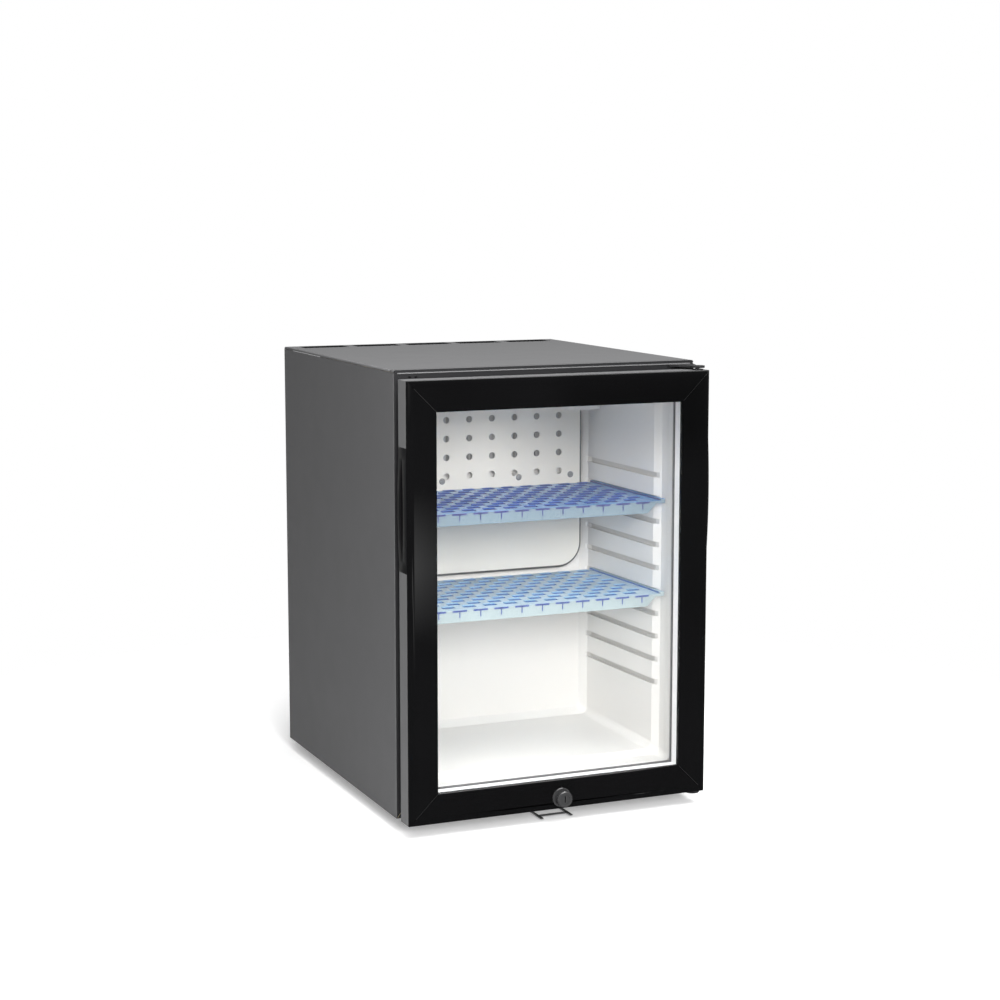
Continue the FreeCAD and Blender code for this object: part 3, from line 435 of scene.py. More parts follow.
def coated(name, base, shade, grain, smooth, rough, lift, level=0.5, masked=None, other=None):
    """Paint, moulded plastic or rubber: drifting tone, fine grain and a roughness that varies."""
    made, tree, shader = bare_finish(name)
    colour = place_group(tree, "tone", Base=rgba(base), Shade=rgba(shade)).outputs["Color"]
    # A mask may swap in a second colour: darker front paint, or painted shade inside the shelf grooves.
    if masked:
        colour = blend_colour(tree, place_group(tree, masked).outputs["Mask"], colour, rgba(other))
    skin = place_group(tree, "grain", Scale=grain, Smooth=smooth, Rough=rough)
    tree.links.new(colour, shader.inputs["Base Color"])
    tree.links.new(skin.outputs["Roughness"], shader.inputs["Roughness"])
    bump(tree, shader, skin.outputs["Height"], lift, fine_bump)
    shader.inputs["Specular IOR Level"].default_value = level
    return made


def brushed(name, base, shade, stretch, smooth, rough, lift):
    """Bare metal with fine drawn lines."""
    made, tree, shader = bare_finish(name)
    tone = place_group(tree, "tone", Base=rgba(base), Shade=rgba(shade), Scale=14.0)
    lines = place_group(tree, "brushed", Stretch=stretch, Smooth=smooth, Rough=rough)
    tree.links.new(tone.outputs["Color"], shader.inputs["Base Color"])
    tree.links.new(lines.outputs["Roughness"], shader.inputs["Roughness"])
    bump(tree, shader, lines.outputs["Height"], lift, faint_bump)
    shader.inputs["Metallic"].default_value = 1.0
    return made


def cell_pattern(tree, scale):
    """The outputs of a cell texture on the piece."""
    made = tree.nodes.new("ShaderNodeTexVoronoi")
    made.inputs["Scale"].default_value = scale
    tree.links.new(object_place(tree), made.inputs["Vector"])
    return made.outputs


def zinc_sheet():
    """Zinc-plated sheet with its faint spangle."""
    made, tree, shader = bare_finish("ZincSheet")
    cells = cell_pattern(tree, zinc_cells)
    grey = tree.nodes.new("ShaderNodeSeparateColor")
    tree.links.new(cells["Color"], grey.inputs["Color"])
    colour = blend_colour(tree, grey.outputs["Red"], (0.50, 0.51, 0.52, 1.0), (0.66, 0.67, 0.68, 1.0))
    tree.links.new(colour, shader.inputs["Base Color"])
    skin = place_group(tree, "grain", Scale=700.0, Smooth=0.30, Rough=0.46)
    tree.links.new(skin.outputs["Roughness"], shader.inputs["Roughness"])
    bump(tree, shader, skin.outputs["Height"], 0.08, faint_bump)
    shader.inputs["Metallic"].default_value = 1.0
    return made


def foam():
    """Cream rigid foam with open cells at its cut faces."""
    made, tree, shader = bare_finish("RigidFoam")
    cells = cell_pattern(tree, foam_cells)
    tone = place_group(tree, "tone", Base=(0.82, 0.72, 0.46, 1.0), Shade=(0.72, 0.60, 0.35, 1.0))
    tree.links.new(tone.outputs["Color"], shader.inputs["Base Color"])
    tree.links.new(mapped(tree, cells["Distance"], 0.75, 0.95), shader.inputs["Roughness"])
    bump(tree, shader, cells["Distance"], 0.4, foam_bump)
    return made


def clear_glass(name, tint, roughness):
    """Clear glass that lets the lamps through to what is behind it."""
    made, tree, shader = bare_finish(name)
    shade = rgba([value * glass_drift for value in tint])
    tone = place_group(tree, "tone", Base=rgba(tint), Shade=shade, Scale=3.0)
    tree.links.new(tone.outputs["Color"], shader.inputs["Base Color"])
    shader.inputs["Roughness"].default_value = roughness
    shader.inputs["IOR"].default_value = glass_ior
    shader.inputs["Transmission Weight"].default_value = 1.0
    path = tree.nodes.new("ShaderNodeLightPath")
    either = calc(tree, "MAXIMUM", path.outputs["Is Shadow Ray"], path.outputs["Is Diffuse Ray"])
    through = tree.nodes.new("ShaderNodeBsdfTransparent")
    through.inputs["Color"].default_value = shade
    mix = tree.nodes.new("ShaderNodeMixShader")
    tree.links.new(either, mix.inputs["Fac"])
    tree.links.new(shader.outputs["BSDF"], mix.inputs[1])
    tree.links.new(through.outputs["BSDF"], mix.inputs[2])
    tree.links.new(mix.outputs["Shader"], tree.nodes["Material Output"].inputs["Surface"])
    return made


def shelf_plastic(name, face, wall, apron, transmission):
    """Translucent blue plastic, with its slot walls painted darker as painted shade, and paler on its front
    apron.
    """
    made, tree, shader = bare_finish(name)
    masks = place_group(tree, "walls", Front=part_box("upper_shelf")[0].y + shelf_lip)
    shade = rgba([value * shelf_drift for value in face])
    tone = place_group(tree, "tone", Base=rgba(face), Shade=shade, Scale=9.0)
    # Upright walls behind the lip take a darker colour: painted shade in the slots.
    colour = blend_colour(tree, masks.outputs["Walls"], tone.outputs["Color"], rgba(wall))
    colour = blend_colour(tree, masks.outputs["Apron"], colour, rgba(apron))
    tree.links.new(colour, shader.inputs["Base Color"])
    skin = place_group(tree, "grain", Scale=1500.0, Smooth=0.14, Rough=0.26)
    tree.links.new(skin.outputs["Roughness"], shader.inputs["Roughness"])
    bump(tree, shader, skin.outputs["Height"], 0.05, faint_bump)
    shader.inputs["IOR"].default_value = shelf_ior
    shader.inputs["Specular IOR Level"].default_value = shelf_level
    shader.inputs["Transmission Weight"].default_value = transmission
    return made


finishes = {
    "casing_grey": coated("CasingPaint", (0.128, 0.128, 0.131), (0.125, 0.125, 0.128), 1400.0,
                          0.40, 0.43, 0.08, level=0.3, masked="front", other=(0.020, 0.020, 0.021)),
    "black_steel": coated("BlackSteelPaint", (0.014, 0.014, 0.015), (0.020, 0.020, 0.021), 1200.0,
                          0.38, 0.54, 0.12),
    "zinc_sheet": zinc_sheet(),
    "foam": foam(),
    # The darker second colour of the liner, inside the shelf grooves, is painted shade.
    "liner_white": coated("LinerPlastic", (0.83, 0.815, 0.79), (0.81, 0.795, 0.77), 1800.0,
                          0.32, 0.38, 0.04, masked="groove", other=(0.60, 0.585, 0.56)),
    "cover_white": coated("CoverPaint", (0.87, 0.83, 0.75), (0.85, 0.81, 0.73), 1600.0,
                          0.36, 0.44, 0.05),
    "bright_steel": brushed("BrightSteel", (0.66, 0.66, 0.67), (0.58, 0.58, 0.59),
                            (900.0, 900.0, 60.0), 0.20, 0.36, 0.06),
    "aluminium": brushed("MillAluminium", (0.78, 0.79, 0.80), (0.70, 0.71, 0.72),
                         (30.0, 1500.0, 1500.0), 0.26, 0.42, 0.06),
    "lens_clear": clear_glass("FrostedLens", (0.93, 0.94, 0.94), 0.28),
    "black_plastic": coated("BlackPlastic", (0.018, 0.018, 0.019), (0.026, 0.026, 0.027), 2200.0,
                            0.42, 0.58, 0.20),
    "foot_rubber": coated("FootRubber", (0.018, 0.018, 0.018), (0.027, 0.027, 0.027), 1600.0,
                          0.62, 0.80, 0.25),
    "frame_grey": coated("FramePaint", (0.165, 0.165, 0.168), (0.155, 0.155, 0.158), 1500.0,
                         0.34, 0.38, 0.06, level=0.3),
    "fascia_black": coated("FasciaGloss", (0.0022, 0.0022, 0.0024), (0.0030, 0.0030, 0.0033), 700.0,
                           0.06, 0.09, 0.01, level=0.22),
    "glass": clear_glass("ClearGlass", (0.994, 0.994, 0.993), 0.0),
    "seal_black": coated("SealRubber", (0.012, 0.012, 0.013), (0.018, 0.018, 0.019), 1500.0,
                         0.50, 0.66, 0.15),
    "grip_black": coated("GripPlastic", (0.004, 0.004, 0.0045), (0.006, 0.006, 0.0065), 2000.0,
                         0.32, 0.42, 0.10, level=0.3),
    "lock_chrome": coated("LockPlating", (0.036, 0.036, 0.037), (0.028, 0.028, 0.029), 1200.0,
                          0.20, 0.32, 0.05),
    # The second colour of each shelf, on its slot walls, is painted shade.
    "shelf_blue_dark": shelf_plastic("ShelfBlue", (0.085, 0.30, 0.66), (0.004, 0.03, 0.20),
                                     (0.20, 0.28, 0.34), 0.05),
    "shelf_blue_light": shelf_plastic("ShelfPaleBlue", (0.52, 0.71, 0.83), (0.030, 0.13, 0.40),
                                      (0.40, 0.49, 0.51), 0.05),
}

# Finishes of single pieces that differ from their slot
# The spacer is a near-white matt coat in place of bright aluminium: its whiteness is a painted reflection.
spacer_reflection_finish = coated("SpacerBarReflection", (0.92, 0.92, 0.92), (0.88, 0.88, 0.88), 900.0, 0.28, 0.36, 0.04)
# The fins are painted a darker grey than bare aluminium: painted shade behind the cover.
fin_shade_finish = coated("FinMetalShaded", (0.36, 0.36, 0.36), (0.30, 0.30, 0.30), 900.0, 0.42, 0.55, 0.08)
# The mitre lines are real joints, but their lighter colour than the fascia is a painted highlight.
seam_highlight_finish = coated("FasciaSeamHighlight", (0.012, 0.012, 0.012), (0.010, 0.010, 0.010), 900.0, 0.40, 0.50, 0.02)
screw_finish = coated("DullScrew", (0.26, 0.26, 0.26), (0.22, 0.22, 0.22), 900.0, 0.36, 0.50, 0.06)
rib_finishes = {
    "upper_shelf": coated("ShelfRib", (0.010, 0.022, 0.20), (0.008, 0.018, 0.17), 1500.0,
                          0.24, 0.34, 0.04),
    "lower_shelf": coated("ShelfPaleRib", (0.028, 0.075, 0.32), (0.022, 0.060, 0.28), 1500.0,
                          0.24, 0.34, 0.04),
}
bar_finishes = {
    "upper_shelf": coated("ShelfBar", (0.010, 0.085, 0.40), (0.009, 0.075, 0.36), 1500.0,
                          0.40, 0.50, 0.04, level=shelf_level),
    "lower_shelf": coated("ShelfPaleBar", (0.25, 0.46, 0.68), (0.23, 0.43, 0.64), 1500.0,
                          0.40, 0.50, 0.04, level=shelf_level),
}
piece_finishes = {"glass_spacer": spacer_reflection_finish, "evaporator_fins": fin_shade_finish}

edge_sizes = {
    "casing_grey": sheet_edge, "black_steel": pressed_edge, "zinc_sheet": sheet_edge, "foam": 0.0,
    "liner_white": moulded_edge, "cover_white": sheet_edge, "bright_steel": sheet_edge,
    "aluminium": sheet_edge, "lens_clear": moulded_edge, "black_plastic": moulded_edge,
    "foot_rubber": moulded_edge, "frame_grey": pressed_edge, "fascia_black": pressed_edge,
    "glass": glass_edge, "seal_black": pressed_edge, "grip_black": pressed_edge,
    "lock_chrome": pressed_edge, "shelf_blue_dark": pressed_edge, "shelf_blue_light": pressed_edge,
}


# Dressing of the solids

def soften(piece, width):
    """Round the sharp edges of a piece by a small width and smooth the rest."""
    weld = piece.modifiers.new("Weld", "WELD")
    weld.merge_threshold = weld_gap
    if width:
        edge = piece.modifiers.new("Edges", "BEVEL")
        edge.width = width
        edge.segments = edge_steps
        edge.limit_method = "ANGLE"
        edge.angle_limit = sharp_angle
        edge.harden_normals = True


def dress_solids():
    """Give each node of the frame its finish and soft edges."""
    slots = {row["node"]: row["material_slot"] for row in frame["record"]["subparts"]}
    for name, piece in frame["nodes"].items():
        piece.data.materials.clear()
        piece.data.materials.append(piece_finishes.get(name, finishes[slots[name]]))
        soften(piece, edge_sizes[slots[name]])


# Pieces made here

def added(name, data):
    """A new object in the scene."""
    made = bpy.data.objects.new(name, data)
    bpy.context.scene.collection.objects.link(made)
    return made


def shown(name, mesh, body, slot):
    """Put a mesh in the scene as a piece of a body, with a finish."""
    piece = added(name, mesh)
    mesh.materials.clear()
    mesh.materials.append(finishes[slot])
    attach(piece, body)
    return piece


def solid_mesh(curve):
    """The mesh of a curve, and the curve taken away."""
    holder = added("path", curve)
    bpy.context.view_layer.update()
    ready = holder.evaluated_get(bpy.context.evaluated_depsgraph_get())
    mesh = bpy.data.meshes.new_from_object(ready)
    bpy.data.objects.remove(holder)
    bpy.data.curves.remove(curve)
    return mesh


def smooth(mesh):
    """Shade a mesh smooth but for its sharp edges."""
    mesh.shade_smooth()
    mesh.set_sharp_from_angle(angle=smooth_angle)
    return mesh


def bent_pipe(points, bend, radius):
    """A round pipe through the points, with a round bend at each corner."""
    curve = bpy.data.curves.new("pipe", "CURVE")
    curve.dimensions = "3D"
    curve.bevel_depth = radius
    curve.bevel_resolution = pipe_sides
    curve.resolution_u = pipe_steps
    curve.use_fill_caps = True
    knots = [(points[0], None, None)]
    for before, corner, after in zip(points, points[1:], points[2:]):
        back = (before - corner).normalized()
        ahead = (after - corner).normalized()
        enter = corner + back * bend
        leave = corner + ahead * bend
        knots.append((enter, None, enter - back * bend * arc_handle))
        knots.append((leave, leave - ahead * bend * arc_handle, None))
    knots.append((points[-1], None, None))
    spline = curve.splines.new("BEZIER")
    spline.bezier_points.add(len(knots) - 1)
    for knot, (place, left, right) in zip(spline.bezier_points, knots):
        knot.co = place
        knot.handle_left_type = knot.handle_right_type = "FREE"
        knot.handle_left = left or place
        knot.handle_right = right or place
    return smooth(solid_mesh(curve))


def middle(name):
    """Middle of a node's box."""
    low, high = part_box(name)
    return (low + high) / 2


def cooling_pipes():
    """Pipes of the cooling unit, with round bends in place of the mitred ones."""
    low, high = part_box("evaporator_pipe")
    radius = (high.z - low.z) / 2
    level = (low.z + high.z) / 2
    left, right = low.x + radius, high.x - radius
    inner = low.y + radius
    outlet = high.y
    bar = [Vector((left, outlet, level)), Vector((left, inner, level)),
           Vector((right, inner, level)), Vector((right, outlet, level))]
    piece = shown("evaporator_bar", bent_pipe(bar, pipe_bend, radius), "cabinet", "black_steel")
    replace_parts(piece, "evaporator_pipe")

    low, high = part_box("absorber_coil")
    tank_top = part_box("absorber_vessel")[1].z
    depth = high.y - radius
    ends = (low.x + radius, high.x - radius)
    top = level - coil_drop
    pitch = (top - tank_top - coil_foot_gap) / (coil_passes - 1)
    coil = [Vector((left, outlet, level)), Vector((left, depth, level)), Vector((left, depth, top))]
    for index in range(coil_passes):
        height = top - index * pitch
        coil.append(Vector((ends[index % 2], depth, height)))
        coil.append(Vector((ends[index % 2], depth, height - pitch)))
    coil[-1].z = tank_top - radius
    bend = min(pipe_bend, pitch * bend_share)
    piece = shown("absorber_loops", bent_pipe(coil, bend, radius), "cabinet", "black_steel")
    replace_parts(piece, "absorber_coil")

    low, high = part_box("condenser_pipe")
    top = high.z - radius
    rear = high.y - radius
    riser = [Vector((high.x - radius, rear, low.z)), Vector((high.x - radius, rear, top)),
             Vector((low.x + radius, rear, top)), Vector((low.x + radius, depth, top)),
             Vector((right, depth, top)), Vector((right, depth, level)), Vector((right, outlet, level))]
    piece = shown("condenser_run", bent_pipe(riser, exchanger_bend, radius), "cabinet", "black_steel")
    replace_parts(piece, "condenser_pipe")

    low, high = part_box("exchanger_pipe")
    slim = (high.y - low.y) / 2
    axis = (low.y + high.y) / 2
    turn = high.x - slim
    link = [Vector((low.x - slim, axis, low.z + slim)), Vector((turn, axis, low.z + slim)),
            Vector((turn, axis, high.z))]
    piece = shown("exchanger_run", bent_pipe(link, exchanger_bend, slim), "cabinet", "black_steel")
    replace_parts(piece, "exchanger_pipe")


def corner_spline(curve, corners, depth):
    """A closed outline with a round corner of its own radius at each point."""
    spline = curve.splines.new("BEZIER")
    spline.use_cyclic_u = True
    spline.bezier_points.add(2 * len(corners) - 1)
    for index, (x, z, radius) in enumerate(corners):
        corner = Vector((x, z, depth))
        before = Vector((*corners[index - 1][:2], depth))
        after = Vector((*corners[(index + 1) % len(corners)][:2], depth))
        back = (before - corner).normalized() * radius
        ahead = (after - corner).normalized() * radius
        first, second = spline.bezier_points[2 * index], spline.bezier_points[2 * index + 1]
        first.co, second.co = corner + back, corner + ahead
        for knot in (first, second):
            knot.handle_left_type = knot.handle_right_type = "FREE"
        first.handle_left = first.co
        first.handle_right = first.co - back * arc_handle
        second.handle_left = second.co - ahead * arc_handle
        second.handle_right = second.co


def ring_spline(curve, x, z, radius):
    """A round hole in an outline."""
    corner_spline(curve, [(x + radius, z + radius, radius), (x - radius, z + radius, radius),
                          (x - radius, z - radius, radius), (x + radius, z - radius, radius)], 0.0)


def plate_mesh(outlines, holes, y, edge):
    """A flat plate between two depths, from outlines in X and Z."""
    curve = bpy.data.curves.new("plate", "CURVE")
    curve.dimensions = "2D"
    curve.fill_mode = "BOTH"
    curve.resolution_u = plate_steps
    curve.extrude = (y[1] - y[0]) / 2 - edge
    curve.bevel_depth = edge
    curve.bevel_resolution = 1
    for corners in outlines:
        corner_spline(curve, corners, 0.0)
    for x, z, radius in holes:
        ring_spline(curve, x, z, radius)
    mesh = solid_mesh(curve)
    upright = Matrix.Rotation(math.radians(90), 4, "X")
    mesh.transform(Matrix.Translation((0, (y[0] + y[1]) / 2, 0)) @ upright)
    return mesh


def finished(work, name):
    """The mesh of edited geometry, which is then freed."""
    mesh = bpy.data.meshes.new(name)
    work.to_mesh(mesh)
    work.free()
    return mesh


def joined(meshes):
    """One mesh out of several."""
    work = bmesh.new()
    for mesh in meshes:
        work.from_mesh(mesh)
    return finished(work, "joined")


def cover_outline(low, high, inset):
    """Outline of the evaporator cover, smaller by an inset."""
    upper, lower = cover_top_radius, cover_low_radius - inset
    return [(high.x - inset, high.z - inset, upper), (low.x + inset, high.z - inset, upper),
            (low.x + inset, low.z + inset, lower), (high.x - inset, low.z + inset, lower)]


def evaporator_cover():
    """Perforated cover with round holes and turned edges, and a black seal strip round it that stands out
    past its edge as painted shadow.
    """
    low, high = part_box("evaporator_cover")
    first = low.x + cover_hole_margin
    pitch = (high.x - low.x - 2 * cover_hole_margin) / (cover_columns - 1)
    holes = [(first + column * pitch, high.z - cover_first_row - row * cover_row_pitch, cover_hole)
             for row in range(cover_rows) for column in range(cover_columns)]
    face = plate_mesh([cover_outline(low, high, 0.0)], holes, (low.y, low.y + cover_wall), cover_edge)
    rim = plate_mesh([cover_outline(low, high, 0.0), cover_outline(low, high, cover_wall)], [],
                     (low.y + cover_wall, high.y), cover_edge)
    piece = shown("perforated_cover", smooth(joined([face, rim])), "cabinet", "cover_white")
    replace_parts(piece, "evaporator_cover")
    # Black seal strip round the cover, standing out past its edge as painted shadow on the rear wall.
    strip = plate_mesh([cover_outline(low, high, -seal_shadow_proud), cover_outline(low, high, cover_wall)], [],
                       (low.y + 2 * cover_wall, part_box("cover_spacers")[1].y), cover_edge)
    shown("cover_seal_shadow", smooth(strip), "cabinet", "seal_black")


def lathe(profile):
    """A turned mesh about Z from (radius, height) points that end on the axis or close on themselves."""
    work = bmesh.new()
    ring = [work.verts.new((radius, 0, height)) for radius, height in profile]
    edges = [work.edges.new(pair) for pair in zip(ring, ring[1:])]
    bmesh.ops.spin(work, geom=ring + edges, cent=(0, 0, 0), axis=(0, 0, 1), angle=2 * math.pi,
                   steps=lathe_steps, use_duplicate=False)
    bmesh.ops.remove_doubles(work, verts=work.verts, dist=weld_gap / 10)
    bmesh.ops.recalc_face_normals(work, faces=work.faces)
    return finished(work, "turned")


def box_mesh(low, high):
    """A box between two corners."""
    work = bmesh.new()
    bmesh.ops.create_cube(work, size=1.0)
    for vert in work.verts:
        vert.co = Vector([low[i] if vert.co[i] < 0 else high[i] for i in range(3)])
    return finished(work, "box")


def carved(mesh, cutter):
    """A mesh with another cut out of it."""
    base = added("base", mesh)
    tool = added("tool", cutter)
    cut = base.modifiers.new("Cut", "BOOLEAN")
    cut.object = tool
    cut.solver = "EXACT"
    bpy.context.view_layer.update()
    made = bpy.data.meshes.new_from_object(base.evaluated_get(bpy.context.evaluated_depsgraph_get()))
    for item in (base, tool):
        bpy.data.objects.remove(item)
    return made


def domed_head(radius, rise, crossed):
    """A low domed screw head on the plane at zero, with or without a cross recess."""
    ball = (radius * radius + rise * rise) / (2 * rise)
    reach = math.asin(radius / ball)
    foot = -rise * screw_foot_share
    profile = [(0.0, foot), (radius * screw_base_share, foot), (radius, 0.0)]
    for index in range(1, dome_steps):
        turn = reach * (1 - index / dome_steps)
        profile.append((ball * math.sin(turn), rise - ball + ball * math.cos(turn)))
    profile.append((0.0, rise))
    head = lathe(profile)
    if not crossed:
        return smooth(head)
    arm = radius * cross_reach
    half = radius * cross_width / 2
    floor = rise * (1 - cross_depth)
    bars = [box_mesh((-arm, -half, floor), (arm, half, 2 * rise)),
            box_mesh((-half, -arm, floor), (half, arm, 2 * rise))]
    for bar in bars:
        head = carved(head, bar)
    return smooth(head)


def screws(name, places, facing, size, body, slot, crossed=True):
    """A set of screw heads that face one way, as one piece."""
    turn = Vector((0, 0, 1)).rotation_difference(Vector(facing)).to_matrix().to_4x4()
    meshes = []
    for place in places:
        head = domed_head(*size, crossed)
        head.transform(Matrix.Translation(place) @ turn)
        meshes.append(head)
    return shown(name, smooth(joined(meshes)), body, slot)


def fasteners():
    """Screw heads and blanking plugs where the real ones sit."""
    front, rear, down = (0, -1, 0), (0, 1, 0), (0, 0, -1)
    low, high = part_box("evaporator_cover")
    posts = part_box("cover_spacers")
    outer = posts[1].x - (posts[1].z - posts[0].z) / 2 / math.cos(math.pi / 6)
    inner = outer * cover_post_share
    level = low.z + cover_post_rise
    heads = screws("cover_screws", [(x, low.y, level) for x in (-outer, -inner, inner, outer)], front,
                   cover_screw, "cabinet", "bright_steel")
    heads.data.materials[0] = screw_finish

    low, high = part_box("top_hinge")
    case_low, case_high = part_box("front_rail")
    flange = high.y - hinge_sheet
    level = (low.z + high.z - hinge_sheet) / 2
    screws("hinge_screws", [(case_high.x - inset, flange, level) for inset in hinge_screw_insets], front,
           hinge_screw, "cabinet", "black_steel")
    level = case_high.z - plug_drop
    screws("hinge_plugs", [(case_low.x + inset, case_low.y, level) for inset in hinge_screw_insets], front,
           plug_cap, "cabinet", "grip_black", crossed=False)

    low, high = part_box("bottom_hinge")
    ends = (low.x + hinge_screw_margin, high.x - hinge_screw_margin)
    screws("bottom_hinge_screws", [(x, high.y - hinge_screw_margin, low.z) for x in ends], down,
           hinge_screw, "cabinet", "black_steel")

    low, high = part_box("lock_strike")
    y, z = high.y - strike_screw_inset, high.z - strike_sheet
    screws("strike_screws", [(x, y, z) for x in (-strike_screw_spread, strike_screw_spread)], down,
           strike_screw, "cabinet", "bright_steel")

    low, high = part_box("lock_cam")
    axis = middle("lock_plug")
    screws("cam_screw", [(axis.x, high.y, axis.z)], rear, cam_screw, "lock", "bright_steel")

    low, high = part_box("unit_rails")
    heights = [low.z + rise for rise in rail_screw_rises]
    heights += [high.z - rise for rise in reversed(rail_screw_rises)]
    ends = (low.x + rail_screw_inset, high.x - rail_screw_inset)
    screws("rail_screws", [(x, low.y + rail_sheet, z) for x in ends for z in heights], rear, rail_screw,
           "cabinet", "bright_steel")

    low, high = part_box("control_lid")
    across = (low.x + lid_screw_margin, high.x - lid_screw_margin)
    heights = (low.z + lid_screw_margin, high.z - lid_screw_margin)
    screws("lid_screws", [(x, high.y, z) for x in across for z in heights], rear, lid_screw, "cabinet",
           "black_plastic")


def rail_bead():
    """Thin raised bead along the face of the top front rail."""
    low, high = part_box("front_rail")
    reach = high.x - bead_end_gap
    middle_z = high.z - bead_drop
    bead = box_mesh((-reach, low.y - bead_proud, middle_z - bead_height / 2),
                    (reach, low.y + bead_proud, middle_z + bead_height / 2))
    soften(shown("rail_bead", bead, "cabinet", "frame_grey"), sheet_edge)


def fascia_seams():
    """Fine mitre lines across the flat of the fascia at its four corners, real joints coloured lighter than
    the fascia as a painted highlight.
    """
    low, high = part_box("door_fascia_left")
    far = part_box("door_fascia_right")[1]
    start, end = fascia_dome, high.x - low.x - fascia_lip
    half = (end - start) / math.sqrt(2)
    inset = (start + end) / 2
    lines = []
    for x, toward in ((low.x, 1), (far.x, -1)):
        for z, rise in ((low.z, 1), (far.z, -1)):
            line = box_mesh((-half, -seam_proud, -seam_width / 2), (half, seam_proud, seam_width / 2))
            slant = Matrix.Rotation(math.radians(-45) * toward * rise, 4, "Y")
            line.transform(Matrix.Translation((x + toward * inset, low.y, z + rise * inset)) @ slant)
            lines.append(line)
    shown("fascia_seams", joined(lines), "door", "fascia_black").data.materials[0] = seam_highlight_finish


def shelf_ribs():
    """Short upright ribs along the front apron of each shelf, and low bars behind its slots."""
    for name, slot in (("upper_shelf", "shelf_blue_dark"), ("lower_shelf", "shelf_blue_light")):
        low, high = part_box(name)
        top = high.z - shelf_rim
        ribs = []
        for index in range(rib_count):
            x = (index - (rib_count - 1) / 2) * rib_pitch
            for half, base in ((rib_width / 2, low.z + rib_foot), (rib_bar_width / 2, top - rib_bar_height)):
                ribs.append(box_mesh((x - half, low.y - rib_proud, base), (x + half, low.y, top)))
        piece = shown(name + "_ribs", joined(ribs), name, slot)
        piece.data.materials[0] = rib_finishes[name]
        bars = []
        for row in range(slot_rows):
            y = low.y + slot_start + row * slot_row_pitch
            shift = rib_pitch / 4 * (1 if row % 2 else -1)
            for column in range(rib_count):
                x = (column - (rib_count - 1) / 2) * rib_pitch + shift
                bars.append(box_mesh((x - bar_length / 2, y, top - bar_rise),
                                     (x + bar_length / 2, y + bar_width, top + bar_rise)))
        piece = shown(name + "_bars", joined(bars), name, slot)
        piece.data.materials[0] = bar_finishes[name]
        soften(piece, pressed_edge)


def boiler_bands():
    """Foil jacket bands round the boiler."""
    low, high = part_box("boiler")
    axis = (low + high) / 2
    radius = (high.x - low.x) / 2
    bands = []
    inner, outer = radius - band_sink, radius + band_proud
    for share in band_shares:
        z = low.z + (high.z - low.z) * share
        band = lathe([(inner, z - band_half), (outer, z - band_flat), (outer, z + band_flat),
                      (inner, z + band_half), (inner, z - band_half)])
        band.transform(Matrix.Translation((axis.x, axis.y, 0)))
        bands.append(band)
    shown("boiler_bands", smooth(joined(bands)), "cabinet", "aluminium")


def domed_can(start, length, radius, dome):
    """A turned tank along Z from a height, with rounded shoulders."""
    turns = [math.pi / 2 * index / dome_steps for index in range(dome_steps + 1)]
    lower = [(radius - dome + dome * math.sin(turn), start + dome - dome * math.cos(turn)) for turn in turns]
    upper = [(across, 2 * start + length - height) for across, height in reversed(lower)]
    return lathe([(0.0, start)] + lower + upper + [(0.0, start + length)])


def turned_pieces():
    """Boiler, vessel, feet and lock body as smooth turned pieces."""
    low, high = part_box("boiler")
    can = domed_can(low.z, high.z - low.z, (high.x - low.x) / 2, boiler_dome)
    can.transform(Matrix.Translation((*middle("boiler").xy, 0)))
    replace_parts(shown("boiler_can", smooth(can), "cabinet", "zinc_sheet"), "boiler")

    low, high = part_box("absorber_vessel")
    tank = domed_can(low.x, high.x - low.x, (high.z - low.z) / 2, vessel_dome)
    axis = middle("absorber_vessel")
    level = Matrix.Rotation(math.radians(90), 4, "Y")
    tank.transform(Matrix.Translation((0, axis.y, axis.z)) @ level)
    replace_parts(shown("vessel_tank", smooth(tank), "cabinet", "black_steel"), "absorber_vessel")

    for name in ("front_feet", "rear_feet"):
        low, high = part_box(name)
        radius = (high.y - low.y) / 2
        tip = radius * foot_tip_share
        feet = []
        for x in (low.x + radius, high.x - radius):
            foot = lathe([(0.0, low.z), (tip - foot_round, low.z), (tip, low.z + foot_round),
                          (radius, high.z - foot_collar), (radius, high.z), (0.0, high.z)])
            foot.transform(Matrix.Translation((x, (low.y + high.y) / 2, 0)))
            feet.append(foot)
        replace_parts(shown(name + "_turned", smooth(joined(feet)), "cabinet", "foot_rubber"), name)

    low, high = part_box("lock_barrel")
    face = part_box("door_fascia_bottom")[0].y
    axis = middle("lock_barrel")
    bezel = (high.x - low.x) / 2
    head = bezel - bezel_rim
    back = low.y + lock_head
    step = face - bezel_height
    section = [(lock_bore, low.y), (head - lock_chamfer, low.y), (head, low.y + lock_chamfer),
               (head, back), (lock_neck, back), (lock_neck, step),
               (bezel - lock_chamfer / 2, step), (bezel, step + lock_chamfer / 2), (bezel, face),
               (lock_neck, face), (lock_neck, high.y), (lock_bore, high.y), (lock_bore, low.y)]
    barrel = lathe(section)
    facing = Matrix.Rotation(math.radians(-90), 4, "X")
    barrel.transform(Matrix.Translation((axis.x, 0, axis.z)) @ facing)
    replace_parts(shown("lock_body", smooth(barrel), "door", "lock_chrome"), "lock_barrel")


